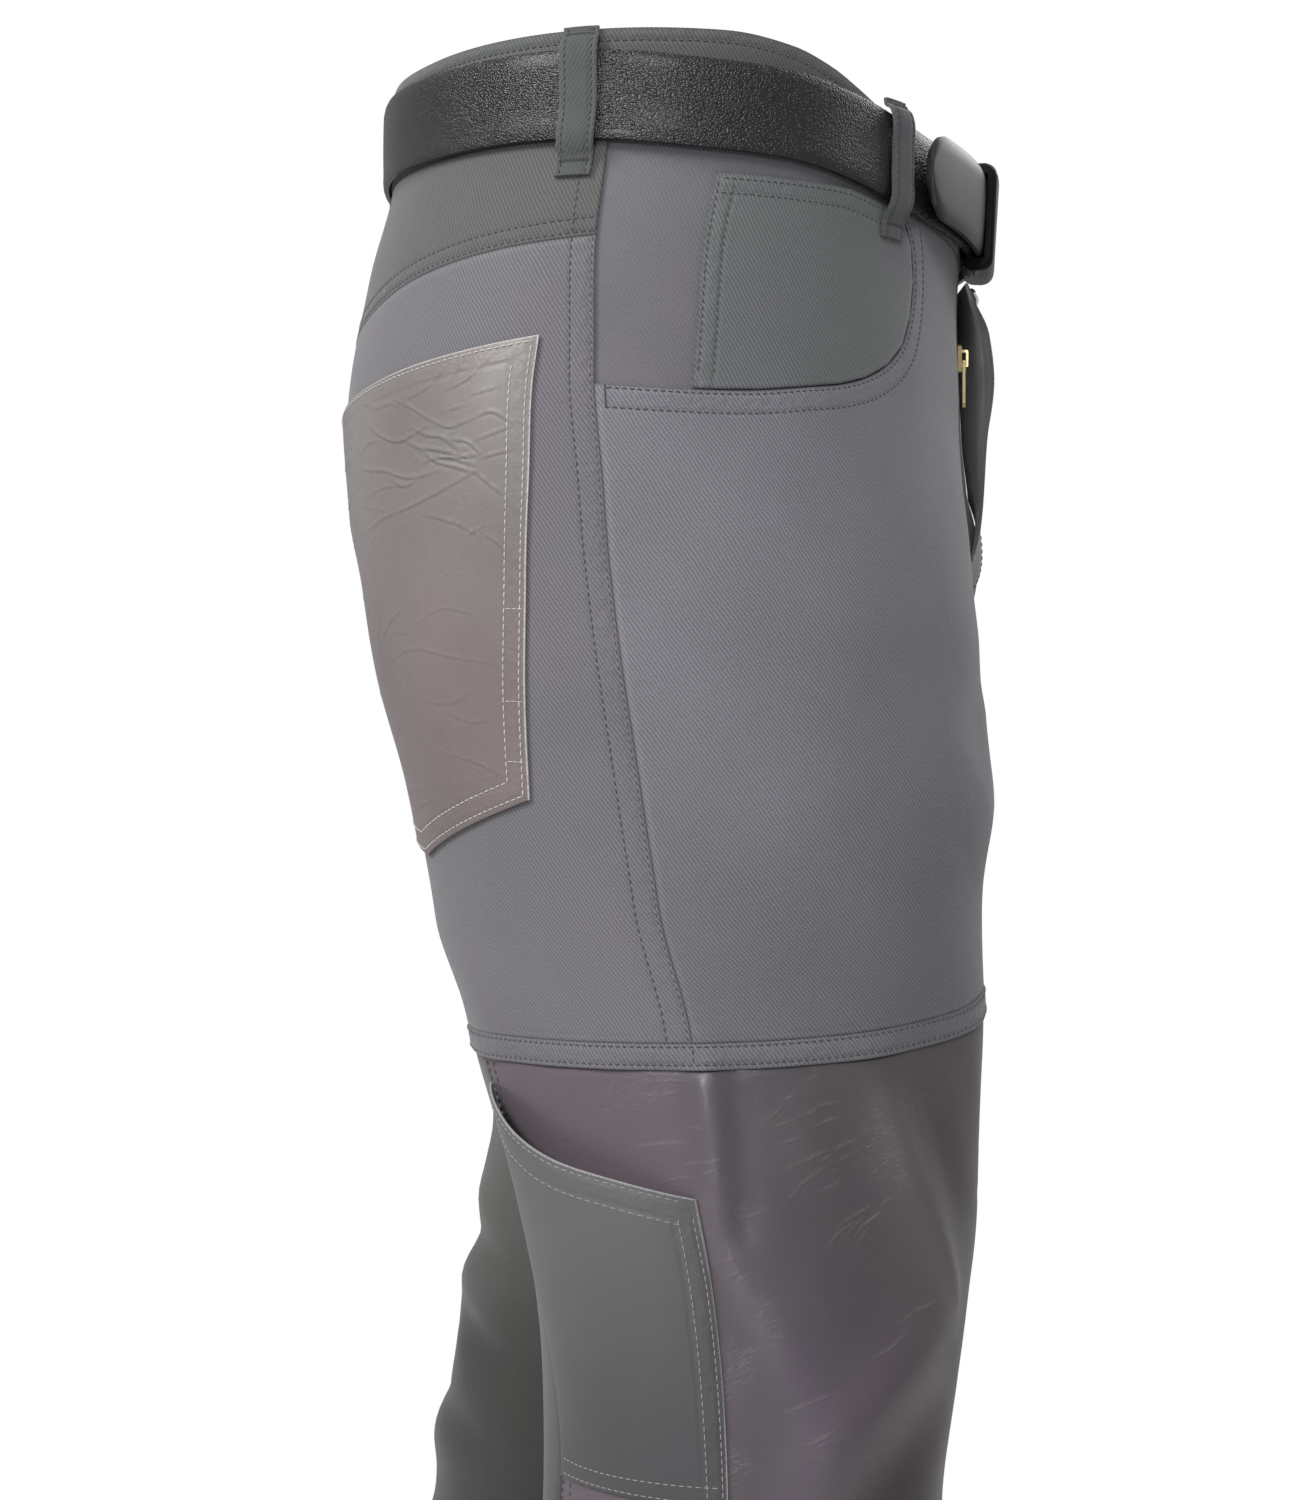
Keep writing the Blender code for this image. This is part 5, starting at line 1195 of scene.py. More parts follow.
def make_back(tag, side, look):
    """The upper back panel."""
    yoke = line_at(YOKE_LINE)
    hem = line_at(HEM_LINE, HEM_HEIGHT)
    yoke_back = meeting(yoke, back_edge, -88.0)
    hem_back = meeting(hem, back_edge, -353.0)
    rise = rise_heights(BACK_RISE_TOP)
    outline = along_round(yoke, 0.0, back_edge(yoke_back), SEAM_STEP)
    outline += along_height(back_edge, yoke_back, rise[0], SEAM_STEP)
    curve = [(float(back_edge(z)), z) for z in rise]
    outline += curve
    outline += along_height(back_edge, CROTCH, hem_back, SEAM_STEP)
    outline += along_round(hem, back_edge(hem_back), 0.0, SEAM_STEP)
    side_seam = run([outline[-1], outline[0]], SEAM_STEP)
    outline += side_seam
    panel("back_" + tag, side, outline, -CLOTH, 0.0, 4.2, look,
          stitched=(side_seam,))
    sew("grey", side, [(s - SIDE_ROW, z) for s, z in side_seam], 0.0)
    sew("tack", side, [(s - 1.3, z) for s, z in side_seam], -0.12, radius=0.2)
    if side == LEFT:
        middle = along_height(back_edge, yoke_back - 2.0, -252.0, SEAM_STEP)
        for gap in DOUBLE_ROW:
            sew("grey", side, [(s + gap, z) for s, z in middle], 0.0)


def slit_edge(z):
    """s of the front's edge where the fly is open at the middle."""
    return front_edge(z) - SLIT_HALF


def make_front(tag, side, look):
    """The upper front panel with its scooped pocket edge."""
    low = line_at(WAIST_LOW)
    hem = line_at(HEM_LINE, HEM_HEIGHT)
    low_front = meeting(low, slit_edge, -36.0)
    hem_front = meeting(hem, front_edge, -353.0)
    rise = rise_heights(SLIT_END - SLIT_HALF)
    scoop = smooth_line(SCOOP_EDGE, 3.0)
    outline = list(scoop)
    outline += along_round(low, SCOOP_EDGE[-1][0], slit_edge(low_front), SEAM_STEP)
    outline += along_height(slit_edge, low_front, SLIT_END, SEAM_STEP)
    outline += [(float(front_edge(z)), z) for z in rise]
    outline += along_height(front_edge, CROTCH, hem_front, SEAM_STEP)
    outline += along_round(hem, front_edge(hem_front), 0.0, SEAM_STEP)
    outline += run([outline[-1], outline[0]], SEAM_STEP)
    panel("front_" + tag, side, outline, -CLOTH, 0.0, 4.2, look,
          stitched=(scoop,))
    for gap in (1.5, 9.0):
        row = offset_line(scoop, -gap)
        row = [point for point in row if point[1] < float(low(point[0])) - 1.5 and point[0] > 2.0]
        sew("grey", side, row, 0.0, **FINE_STITCH)
    sew("tack", side, run([(4.0, -112.6), (4.0, -121.6)], 1.0), 0.1, pitch=0.8, length=1.6,
        radius=0.3)
    if side == LEFT:
        seam = along_height(front_edge, SLIT_END - 6.0, -254.0, SEAM_STEP)
        for gap in DOUBLE_ROW:
            sew("grey", side, [(s - gap, z) for s, z in seam], 0.0)


def make_facing(tag, side, look):
    """The pocket facing inside the scoop."""
    low = line_at(WAIST_LOW)
    outer = -CLOTH - LAYER_GAP
    lapped = [(-2.0 * FACING_UNDER, SCOOP_EDGE[0][1] - FACING_LAP)]
    for s, z in SCOOP_EDGE:
        lapped.append((s + FACING_LAP * min(1.0, s / SCOOP_EDGE[8][0]) ** 4, z - FACING_LAP))
    lapped = [point for point in lapped if point[1] < FACING_TOP]
    end = SCOOP_EDGE[-1][0] + FACING_LAP
    outline = run(lapped, SEAM_STEP)
    outline += run([outline[-1], (end, float(low(end)) + FACING_UNDER)], SEAM_STEP)
    outline += along_round(line_at(WAIST_LOW, FACING_UNDER), end, -2.0 * FACING_UNDER, SEAM_STEP)
    outline += run([outline[-1], outline[0]], SEAM_STEP)
    panel("facing_" + tag, side, outline, outer - CLOTH, outer, 4.5, look)


def make_coin_pocket(look):
    """The upright pocket on the right facing."""
    inner = -CLOTH - LAYER_GAP + 0.7
    outer = inner + CLOTH
    edge = [point for point in SCOOP_EDGE if point[0] > COIN_LEFT_LOW + 6.0]
    left_low = (COIN_LEFT_LOW, SCOOP_EDGE[2][1])
    right_top = (SCOOP_EDGE[-2][0] - 7.0, COIN_TOP - 4.5)
    bend = (COIN_LEFT_TOP + 62.0, COIN_TOP)
    left_top = (COIN_LEFT_TOP, COIN_TOP)
    top = run([left_top, bend], 3.0) + run([bend, right_top], 3.0)[1:]
    left = run([left_low, left_top], 3.0)
    outline = [left_low] + run(edge[:-1], 3.0)
    outline += run([outline[-1], right_top], 3.0)
    outline += list(reversed(top))
    outline += list(reversed(left))
    shrunk = inset(without_repeats(outline), LAYER_GAP - SEAM_HALF)
    panel("coin_pocket", RIGHT, [tuple(point) for point in shrunk], inner, outer, 3.4, look,
          stitched=(top, left))
    for line, gap, part in ((top, 3.0, slice(1, -2)), (top, 9.0, slice(1, -2)),
                            (left, 2.2, slice(2, -1)), (left, 8.2, slice(2, -1))):
        sew("grey", RIGHT, offset_line(line, -gap)[part], outer, **FINE_STITCH)


def pocket_relief(s, z):
    """Soft bulges and hard creases of the back pocket."""
    bulge = 0.13 * np.sin(s / 19.0 + z / 31.0) + 0.07 * np.sin(s / 12.0 - z / 27.0 + 0.7)
    return bulge + crease_height(POCKET_CREASES, s, z)


def leg_relief(s, z):
    """Fine crinkles of the leather-look leg."""
    return crease_height(LEG_CREASES, s, z)


def crease_height(creases, s, z):
    """Height of hard creases, each a ridge with a groove beneath it."""
    points = np.stack([s, z], axis=1)
    height = np.zeros(len(points))
    for tall, wide, line in creases:
        path = np.array(smooth_line(line, 1.3))
        reach = 4.0 * wide
        near = np.all((points > path.min(axis=0) - reach) & (points < path.max(axis=0) + reach),
                      axis=1)
        if not near.any():
            continue
        span = points[near][:, None, :] - path[None]
        away = np.linalg.norm(span, axis=2)
        index = away.argmin(axis=1)
        tangent = np.gradient(path, axis=0)
        tangent = tangent / np.linalg.norm(tangent, axis=1)[:, None]
        tangent = tangent * np.where(tangent[:, :1] < 0.0, -1.0, 1.0)
        nearest = span[np.arange(len(index)), index]
        above = tangent[index, 0] * nearest[:, 1] - tangent[index, 1] * nearest[:, 0]
        beyond = np.abs(np.sum(tangent[index] * nearest, axis=1))
        taper = np.sin(np.pi * np.clip(index / (len(path) - 1.0), 0.06, 0.94)) ** 0.5
        taper = taper * np.exp(-(beyond / 1.6) ** 2)
        ridge = np.exp(-((above - 0.45 * wide) / (0.62 * wide)) ** 2)
        groove = np.exp(-((above + 0.65 * wide) / (0.62 * wide)) ** 2)
        height[near] += tall * taper * (ridge - 0.9 * groove)
    return height


def make_back_pocket(tag, side, look):
    """The leather-look patch pocket."""
    outline = run(BACK_POCKET + BACK_POCKET[:1], 3.0)
    corners = BACK_POCKET
    outer_edge = run(corners[:3], 3.0)
    low_edge = run(corners[2:5], 3.0)
    inner_edge = run(corners[4:7], 3.0)
    top_edge = run(corners[6:] + corners[:1], 3.0)
    panel("back_pocket_" + tag, side, outline, PATCH_GAP, PATCH_GAP + CLOTH, 3.6, look,
          stitched=(outer_edge, low_edge, inner_edge, top_edge),
          light=(outer_edge, top_edge), extra=near_creases(POCKET_CREASES), relief=pocket_relief)

    def level(s, z):
        return PATCH_GAP + CLOTH + 0.05 + pocket_relief(s, z)

    closed = [tuple(point) for point in corners]
    for gap in (2.2, 9.0):
        ring = inset(closed, gap)
        ring = [tuple(point) for point in ring]
        top_left = ring[6]
        top_right = ring[0]
        sew("light", side, run(ring[:7], 3.0), level)
        if gap < 5.0:
            sew("light", side, run([top_left, ring[7], top_right], 3.0), level)
    for z in (-196.0, -231.0, -254.0):
        share = (z - corners[0][1]) / (corners[2][1] - corners[0][1])
        s = corners[0][0] + (corners[2][0] - corners[0][0]) * share
        sew("light", side, run([(s - 9.0, z - 1.0), (s - 1.0, z - 1.4)], 2.0), level, pitch=2.4,
            length=2.2, radius=0.2)


def make_hem_band(tag, side, look):
    """The double-stitched hem round the thigh."""
    low = line_at(HEM_LINE)
    top = line_at(HEM_LINE, HEM_HEIGHT)
    front = meeting(top, front_edge, -353.0)
    back = meeting(top, back_edge, -353.0)
    front_low = meeting(low, front_edge, -363.0)
    back_low = meeting(low, back_edge, -363.0)
    upper = along_round(top, back_edge(back), front_edge(front), 3.0)
    lower = along_round(low, front_edge(front_low), back_edge(back_low), 3.0)
    outline = upper + lower
    panel("hem_band_" + tag, side, outline, -CLOTH, hem_outer, 3.3, look,
          stitched=(lower,), soft_edge=True)
    for gap in (2.0, 8.8):
        sew("grey", side, offset_line(lower, -gap)[1:-1], hem_outer, **FINE_STITCH)
    sew("grey", side, run([(0.4, -362.0), (0.4, -370.0)], 2.0), hem_outer)


def hem_outer(s, z):
    """Outer face of the hem, proud and slightly wavy at its lower edge."""
    below = np.clip((smooth_curve(HEM_LINE, 1, s) + HEM_HEIGHT - z) / HEM_HEIGHT, 0.0, 1.0)
    wave = 0.25 * np.sin(s / 9.0) + 0.2 * np.sin(s / 5.3 + 1.0)
    return 0.1 + (HEM_PROUD - 0.1) * below**0.5 + wave * below**2


def leather_seam(z):
    """s of the seam behind the leather-look leg."""
    return float(smooth_curve(LEATHER_SEAM, 1, z))


def make_lower_leg(tag, side, leather, cloth):
    """The leather-look leg panel, and the twill panel behind it."""
    hem = line_at(HEM_LINE)
    front = meeting(hem, front_edge, -363.0)
    back = meeting(hem, back_edge, -363.0)
    seam_top = float(hem(LEATHER_SEAM[-1][1]))
    outer = -LEG_SINK
    seam = along_height(leather_seam, LEG_END, seam_top, 5.0)
    outline = along_round(hem, leather_seam(seam_top), front_edge(front), 5.0)
    outline += along_height(front_edge, front, LEG_END, 5.0)
    outline += run([outline[-1], (leather_seam(LEG_END), LEG_END)], 5.0)
    outline += seam
    panel("leg_front_" + tag, side, outline, outer - CLOTH, outer, 4.2, leather,
          stitched=(seam,), extra=near_creases(LEG_CREASES),
          relief=leg_relief)
    outline = along_round(hem, back_edge(back), leather_seam(seam_top), 5.0)
    outline += list(reversed(seam))
    outline += run([outline[-1], (float(back_edge(LEG_END)), LEG_END)], 5.0)
    outline += along_height(back_edge, LEG_END, back, 5.0)
    panel("leg_back_" + tag, side, outline, outer - CLOTH, outer, 4.8, cloth)
    for gap in DOUBLE_ROW:
        sew("leg", side, [(s + gap, z) for s, z in seam], outer)
    row = LEG_END + LEG_HEM
    middle = leather_seam(LEG_END)
    front_hem = run([(middle + 2.0, row), (float(front_edge(row)) - 2.0, row)], 5.0)
    back_hem = run([(float(back_edge(row)) + 2.0, row), (middle - 2.0, row)], 5.0)
    sew("leg", side, front_hem, outer)
    sew("grey", side, back_hem, outer)


def tool_front(z):
    """s of the tool pocket's front edge."""
    top_s, top_z = TOOL_MOUTH[-1]
    share = np.clip((z - top_z) / (TOOL_BOTTOM - top_z), 0.0, 1.0)
    return top_s + (TOOL_FRONT_LOW - top_s) * share


def tool_inner(s, z):
    """How far the tool pocket's inner face stands off, most in the middle of its mouth."""
    back = smooth_curve(LEATHER_SEAM, 1, z) + TOOL_TACK
    across = np.clip((s - back) / (tool_front(z) - back), 0.0, 1.0)
    mouth = smooth_curve(TOOL_MOUTH, 1, s)
    down = np.clip((z - TOOL_BOTTOM) / (mouth - TOOL_BOTTOM), 0.0, 1.0)
    arch = np.sin(np.pi * across) ** 0.8
    return TOOL_INNER + TOOL_BULGE * arch * np.sin(0.5 * np.pi * down) ** 0.8


def tool_outer(s, z):
    """Outer face of the tool pocket."""
    return tool_inner(s, z) + CLOTH


def make_tool_pocket(look):
    """The slanted tool pocket with its mouth standing open."""
    back = [(s + TOOL_TACK, z) for s, z in along_height(leather_seam, TOOL_BOTTOM, -384.0, 3.0)]
    mouth = smooth_line(TOOL_MOUTH, 3.0)
    front = along_height(tool_front, TOOL_MOUTH[-1][1], TOOL_BOTTOM, 3.0)
    bottom = run([front[-1], back[0]], 3.0)
    outline = list(mouth) + front + bottom + back
    panel("tool_pocket", RIGHT, outline, tool_inner, tool_outer, 3.0, look,
          stitched=(mouth, front), light=(mouth, front))
    for gap in (1.8, 10.5):
        sew("pale", RIGHT, offset_line(mouth, -gap)[1:-1], tool_outer, radius=0.22)
    for gap in (1.8, 7.5):
        sew("pale", RIGHT, offset_line(front, -gap)[2:-1], tool_outer, radius=0.22)
        sew("pale", RIGHT, offset_line(bottom, -gap)[1:-1], tool_outer, radius=0.22)


def fly_share(s, z):
    """Zero at the flap's stitched edge and one at its free edge."""
    start = front_edge(z) - FLY_WIDTH
    width = FLY_WIDTH - SLIT_HALF - FLY_CLEAR
    return np.clip((s - start) / width, 0.0, 1.0)


def fly_inner(s, z):
    """Inner face of the fly flap, which stands off at its free edge."""
    return LAYER_GAP + smooth_curve(FLY_LIFT, 1, z) * fly_share(s, z) ** 1.6


def fly_outer(s, z):
    """Outer face of the fly flap."""
    return fly_inner(s, z) + CLOTH


def fly_stitched_edge(z):
    """s of the flap's stitched edge, which curves to the middle at its lower end."""
    drop = max(0.0, (FLY_END + FLY_CURVE - z) / FLY_CURVE)
    reach = FLY_WIDTH * math.sqrt(max(0.0, 1.0 - drop**2)) if drop > 0.0 else FLY_WIDTH
    return float(front_edge(z)) - max(reach, SLIT_HALF + 3.0)


def fly_free_edge(z):
    """s of the flap's free edge."""
    return front_edge(z) - SLIT_HALF - FLY_CLEAR


def make_fly(look):
    """The flap over the fly on the left front."""
    free = along_height(fly_free_edge, FLY_TOP, FLY_END + 1.0, 3.0)
    sewn = along_height(fly_stitched_edge, FLY_END + 1.0, FLY_TOP, 3.0)
    panel("fly_flap", LEFT, free + sewn, fly_inner, fly_outer, 3.0, look,
          stitched=(free,))
    inner_row = offset_line(sewn, -2.2)[2:-1]
    sew("grey", LEFT, inner_row, fly_outer)
    sew("grey", LEFT, offset_line(free, -5.5)[1:-2], fly_outer)


def tape_edge(z):
    """s of a zip tape's edge, beside the chain."""
    return front_edge(z) - TAPE_CLEAR


def front_middle(z):
    """y of the cloth at the front's middle."""
    z = np.atleast_1d(np.asarray(z, dtype=float))
    return place(RIGHT, front_edge(z), z, 0.0)[:, 1]


def make_zip(look, brass):
    """Zip tapes and the interlocked teeth."""
    for tag, side in SIDES:
        outer = -CLOTH - TAPE_GAP
        edge = along_height(tape_edge, FLY_TOP, SLIT_END, SEAM_STEP)
        far = [(s - TAPE_WIDTH, z) for s, z in reversed(edge)]
        panel("zip_tape_" + tag, side, edge + far, outer - TAPE_THICK, outer, 3.0, look)
    heights = np.arange(SLIT_END + 0.8, FLY_TOP - 2.6, TOOTH_PITCH)
    middle = front_middle(heights)
    points = []
    faces = []
    for i, (z, y) in enumerate(zip(heights, middle)):
        out = -1.0 if i % 2 else 1.0
        near = -0.55 * out
        far = 2.35 * out
        outline = ((near, 0.30), (near + 0.5 * out, 0.50), (1.0 * out, 0.42), (far, 0.55),
                   (far, -0.55), (1.0 * out, -0.42), (near + 0.5 * out, -0.50), (near, -0.30))
        start = len(points)
        size = len(outline)
        for depth in (1.05, -0.02):
            points += [(x, y + depth, z + h) for x, h in outline]
        order = range(size)
        faces.append(tuple(start + k for k in order))
        faces.append(tuple(start + size + k for k in reversed(order)))
        for k in order:
            n = (k + 1) % size
            faces.append((start + k, start + size + k, start + size + n, start + n))
    made = mesh_object("zip_teeth", np.array(points), faces, brass, sharp=30.0)
    turn_out(made)
    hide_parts("zip_chain")


def turn_out(made):
    """Turn all faces of a closed mesh outwards."""
    form = bmesh.new()
    form.from_mesh(made.data)
    bmesh.ops.recalc_face_normals(form, faces=form.faces[:])
    form.to_mesh(made.data)
    form.free()


def round_waist(u, z, offset):
    """Places round the whole waist: u is zero at the back's middle and grows to the left."""
    u = np.asarray(u, dtype=float)
    z = np.asarray(z, dtype=float)
    offset = np.broadcast_to(np.asarray(offset, dtype=float), u.shape)
    half = front_edge(z) - back_edge(z)
    level = float(front_edge(0.0) - back_edge(0.0))
    distance = np.abs(u) * half / level
    crossed = distance > half
    side = np.where(u >= 0.0, LEFT, RIGHT)
    side = np.where(crossed, -side, side)
    s = np.where(crossed, 2.0 * half - distance, distance) + back_edge(z)
    points = np.zeros((len(u), 3))
    for one in (RIGHT, LEFT):
        chosen = side == one
        if chosen.any():
            points[chosen] = place(one, s[chosen], z[chosen], offset[chosen])
    return points


def waist_s(u):
    """s at a place round the waist, taken at the belt's height."""
    half = float(front_edge(0.0) - back_edge(0.0))
    distance = abs(u)
    if distance > half:
        distance = 2.0 * half - distance
    return distance + float(back_edge(0.0))


def tube_faces(size, count, closed=False):
    """Faces that join rings of equal size, the last to the first where the tube is closed."""
    faces = []
    last = count if closed else count - 1
    for i in range(last):
        a = i * size
        b = ((i + 1) % count) * size
        for j in range(size):
            k = (j + 1) % size
            faces.append((a + j, a + k, b + k, b + j))
    return faces


def sweep(name, rings, look, closed=False, sharp=50.0):
    """Solid through rings of equal length."""
    size = len(rings[0])
    points = np.concatenate(rings)
    faces = tube_faces(size, len(rings), closed)
    if not closed:
        faces.append(tuple(range(size)))
        faces.append(tuple(range(len(points) - 1, len(points) - 1 - size, -1)))
    made = mesh_object(name, points, faces, look, sharp=sharp)
    turn_out(made)
    return made


def resample(path, count):
    """Points spread evenly along a smooth line through the path."""
    line = np.array(smooth_line(path, 0.4))
    reach = np.concatenate([[0.0], np.cumsum(np.linalg.norm(np.diff(line, axis=0), axis=1))])
    want = np.linspace(0.0, reach[-1], count)
    return np.stack([np.interp(want, reach, line[:, 0]), np.interp(want, reach, line[:, 1])],
                    axis=1)


def loop_path(u):
    """Height and offset along a belt loop over the belt."""
    over_belt = BELT_FACE + BELT_THICK + LOOP_ROOM + LOOP_THICK / 2.0
    seated = LAYER_GAP + LOOP_THICK / 2.0
    seated_top = WAISTBAND_PROUD + seated
    s = waist_s(u)
    top = float(smooth_curve(WAIST_TOP, 1, s))
    belt = float(smooth_curve(BELT_LINE, 1, s))
    belt_top = belt + BELT_WIDTH / 2.0
    belt_low = belt - BELT_WIDTH / 2.0
    crown = max(top + LOOP_ROOM, belt_top + LOOP_ABOVE)
    low = min(belt_low, float(smooth_curve(WAIST_LOW, 1, s))) - LOOP_BELOW
    return (
        (crown, seated_top), (crown - 2.5, seated_top + 0.4), (belt_top + 3.2, over_belt - 1.0),
        (belt_top + 0.8, over_belt), (belt + 6.0, over_belt + 0.3),
        (belt - 6.0, over_belt + 0.3), (belt_low - 0.8, over_belt),
        (belt_low - 3.4, over_belt - 1.2), (belt_low - 6.6, seated_top + 0.5),
        (low + 3.0, seated + 0.1), (low, seated))


def make_loops(look):
    """The belt loops with their two rows of stitches and bar tacks."""
    reach = -float(back_edge(0.0))
    stations = (
        ("loop_front_R", -(reach + LOOP_FRONT_S)), ("loop_front_L", reach + LOOP_FRONT_S),
        ("loop_side_R", -(reach + LOOP_SIDE_S)), ("loop_side_L", reach + LOOP_SIDE_S),
        ("loop_back", 0.0))
    for name, u in stations:
        path = resample(loop_path(u), 60)
        tangent = np.gradient(path, axis=0)
        tangent = tangent / np.linalg.norm(tangent, axis=1)[:, None]
        normal = np.stack([-tangent[:, 1], tangent[:, 0]], axis=1)
        normal = normal * np.where(normal[:, 1:2] >= 0.0, 1.0, -1.0)
        rows = []
        for where in LOOP_ACROSS:
            inside = min(where, LOOP_WIDTH - where)
            swell = LOOP_THICK / 2.0 * (0.35 + 0.65 * min(1.0, inside / 0.9) ** 0.5)
            swell -= 0.22 * math.exp(-((inside - 2.0) / 0.7) ** 2)
            across = u - LOOP_HALF_WIDTH + where
            outer = path + normal * swell
            inner = path - normal * (LOOP_THICK / 2.0)
            profile = np.concatenate([outer, inner[::-1]])
            rows.append(round_waist(np.full(len(profile), across), profile[:, 0], profile[:, 1]))
        size = len(rows[0])
        points = np.concatenate(rows)
        faces = tube_faces(size, len(rows))
        count = len(path)
        for start in (0, (len(rows) - 1) * size):
            for j in range(count - 1):
                faces.append((start + j, start + j + 1, start + size - 2 - j,
                              start + size - 1 - j))
        made = mesh_object(name + "_cloth", points, faces, look)
        turn_out(made)
        across = np.repeat(LOOP_ACROSS, size)
        height = np.tile(np.concatenate([path[:, 0], path[::-1, 0]]), len(rows))
        inside = np.minimum(across, LOOP_WIDTH - across)
        set_vector(made, "cloth", np.stack([across + u, height, inside + 1.0], axis=1))
        set_vector(made, "seam", np.stack([inside, np.full(len(inside), FAR_AWAY),
                                           np.zeros(len(inside))], axis=1))
        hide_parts(name)
        for shift in (-5.0, 5.0):
            loop_stitches("grey", u + shift, path, normal)
        loop_tack(u, path, normal, 4)
        loop_tack(u, path, normal, len(path) - 7)


def loop_stitches(thread, u, path, normal):
    """A row of stitches down a belt loop."""
    reach = np.concatenate([[0.0], np.cumsum(np.linalg.norm(np.diff(path, axis=0), axis=1))])
    count = int(reach[-1] / 2.8)
    middle = (np.arange(count) + 0.5) * reach[-1] / count
    rings = []
    for share, lift in zip(STITCH_SHARES, (-0.25, 0.05, 0.05, -0.25)):
        at = middle + share * 2.1
        z = np.interp(at, reach, path[:, 0] + normal[:, 0] * (LOOP_THICK / 2.0 + lift))
        o = np.interp(at, reach, path[:, 1] + normal[:, 1] * (LOOP_THICK / 2.0 + lift))
        rings.append(round_waist(np.full(count, u), z, o))
    over = round_waist(np.full(count, u), z, o + 1.0) - rings[-1]
    add_stitches(thread, rings, over, 0.24)


def loop_tack(u, path, normal, index):
    """A bar tack across a belt loop."""
    centre = path[index] + normal[index] * (LOOP_THICK / 2.0 + 0.05)
    count = 13
    at = np.linspace(u - 5.4, u + 5.4, count)
    rings = []
    for share, lift in zip(STITCH_SHARES, (-0.2, 0.1, 0.1, -0.2)):
        z = np.full(count, centre[0] + share * 2.0)
        rings.append(round_waist(at + share * 0.5, z, np.full(count, centre[1] + lift)))
    over = round_waist(at, z, np.full(count, centre[1] + 1.0)) - rings[-1]
    add_stitches("tack", rings, over, 0.32)


def belt_profile(half_height):
    """Crowned belt section with softened edges, as rows of height and offset."""
    thick = BELT_THICK
    rows = []
    for share in (-1.0, -0.93, -0.8, -0.6, -0.4, -0.2, 0.0, 0.2, 0.4, 0.6, 0.8, 0.93, 1.0):
        soft = 0.9 * max(0.0, (abs(share) - 0.8) / 0.2) ** 2
        rows.append((share * half_height, thick + 0.35 * (1.0 - share**2) - soft))
    for share in (1.0, 0.9, 0.0, -0.9, -1.0):
        rows.append((share * half_height, 0.8 * max(0.0, (abs(share) - 0.85) / 0.15)))
    return np.array(rows)


def make_belt(look):
    """The strap once round the waist, through the buckle and on as the tail."""
    reach = -float(back_edge(0.0))
    half = float(front_edge(0.0)) + reach
    start = -(half - 1.0)
    end = half + (half - (TAIL_TIP_S + reach))
    offsets = (
        (start, STRAP_IN_BUCKLE), (start + BUCKLE_HALF_LENGTH + 4.0, STRAP_IN_BUCKLE),
        (start + BUCKLE_HALF_LENGTH + 45.0, BELT_FACE), (half - 75.0, BELT_FACE),
        (half - BUCKLE_HALF_LENGTH - 4.0, STRAP_IN_BUCKLE),
        (half - BUCKLE_HALF_LENGTH + 2.0, STRAP_IN_BUCKLE + 0.4),
        (half - 3.0, TAIL_IN_BUCKLE), (half + BUCKLE_HALF_LENGTH + 2.0, TAIL_IN_BUCKLE),
        (half + 55.0, TAIL_IN_BUCKLE + 0.3), (end, TAIL_TIP_OFFSET))
    stations = list(np.linspace(start, end - TIP_ROUND, 300))
    stations += [end - TIP_ROUND * (1.0 - math.sin(0.5 * math.pi * i / 12.0))
                 for i in range(1, 13)]
    rings = []
    marks = []
    for u in stations:
        offset = float(smooth_curve(offsets, 1, u))
        centre = float(smooth_curve(BELT_LINE, 1, waist_s(u)))
        into_tip = max(0.0, (u - (end - TIP_ROUND)) / TIP_ROUND)
        half_height = BELT_WIDTH / 2.0 * math.sqrt(max(0.0, 1.0 - 0.93 * into_tip**2))
        profile = belt_profile(half_height)
        rings.append(round_waist(np.full(len(profile), u), centre + profile[:, 0],
                                 offset + profile[:, 1]))
        smooth = min(1.0, max(0.0, (u - half) / 8.0))
        marks.append(np.stack([np.full(len(profile), u), profile[:, 0],
                               np.full(len(profile), smooth)], axis=1))
    made = sweep("belt_strap_leather", rings, look)
    set_vector(made, "belt", np.concatenate(marks))
    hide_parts("belt_strap")


def rounded_box(half_height, low, high, radius, steps=8):
    """Closed rounded rectangle as rows of height and offset."""
    points = []
    middle = (low + high) / 2.0
    depth = (high - low) / 2.0
    radius = min(radius, depth * 0.98, half_height * 0.98)
    for quarter in range(4):
        sign_z = 1.0 if quarter in (0, 3) else -1.0
        sign_o = 1.0 if quarter in (0, 1) else -1.0
        centre_z = sign_z * (half_height - radius)
        centre_o = middle + sign_o * (depth - radius)
        for i in range(steps + 1):
            angle = math.radians(90.0 * (quarter + i / steps))
            points.append((centre_z + radius * math.cos(angle),
                           centre_o + radius * math.sin(angle)))
    return np.array(points)


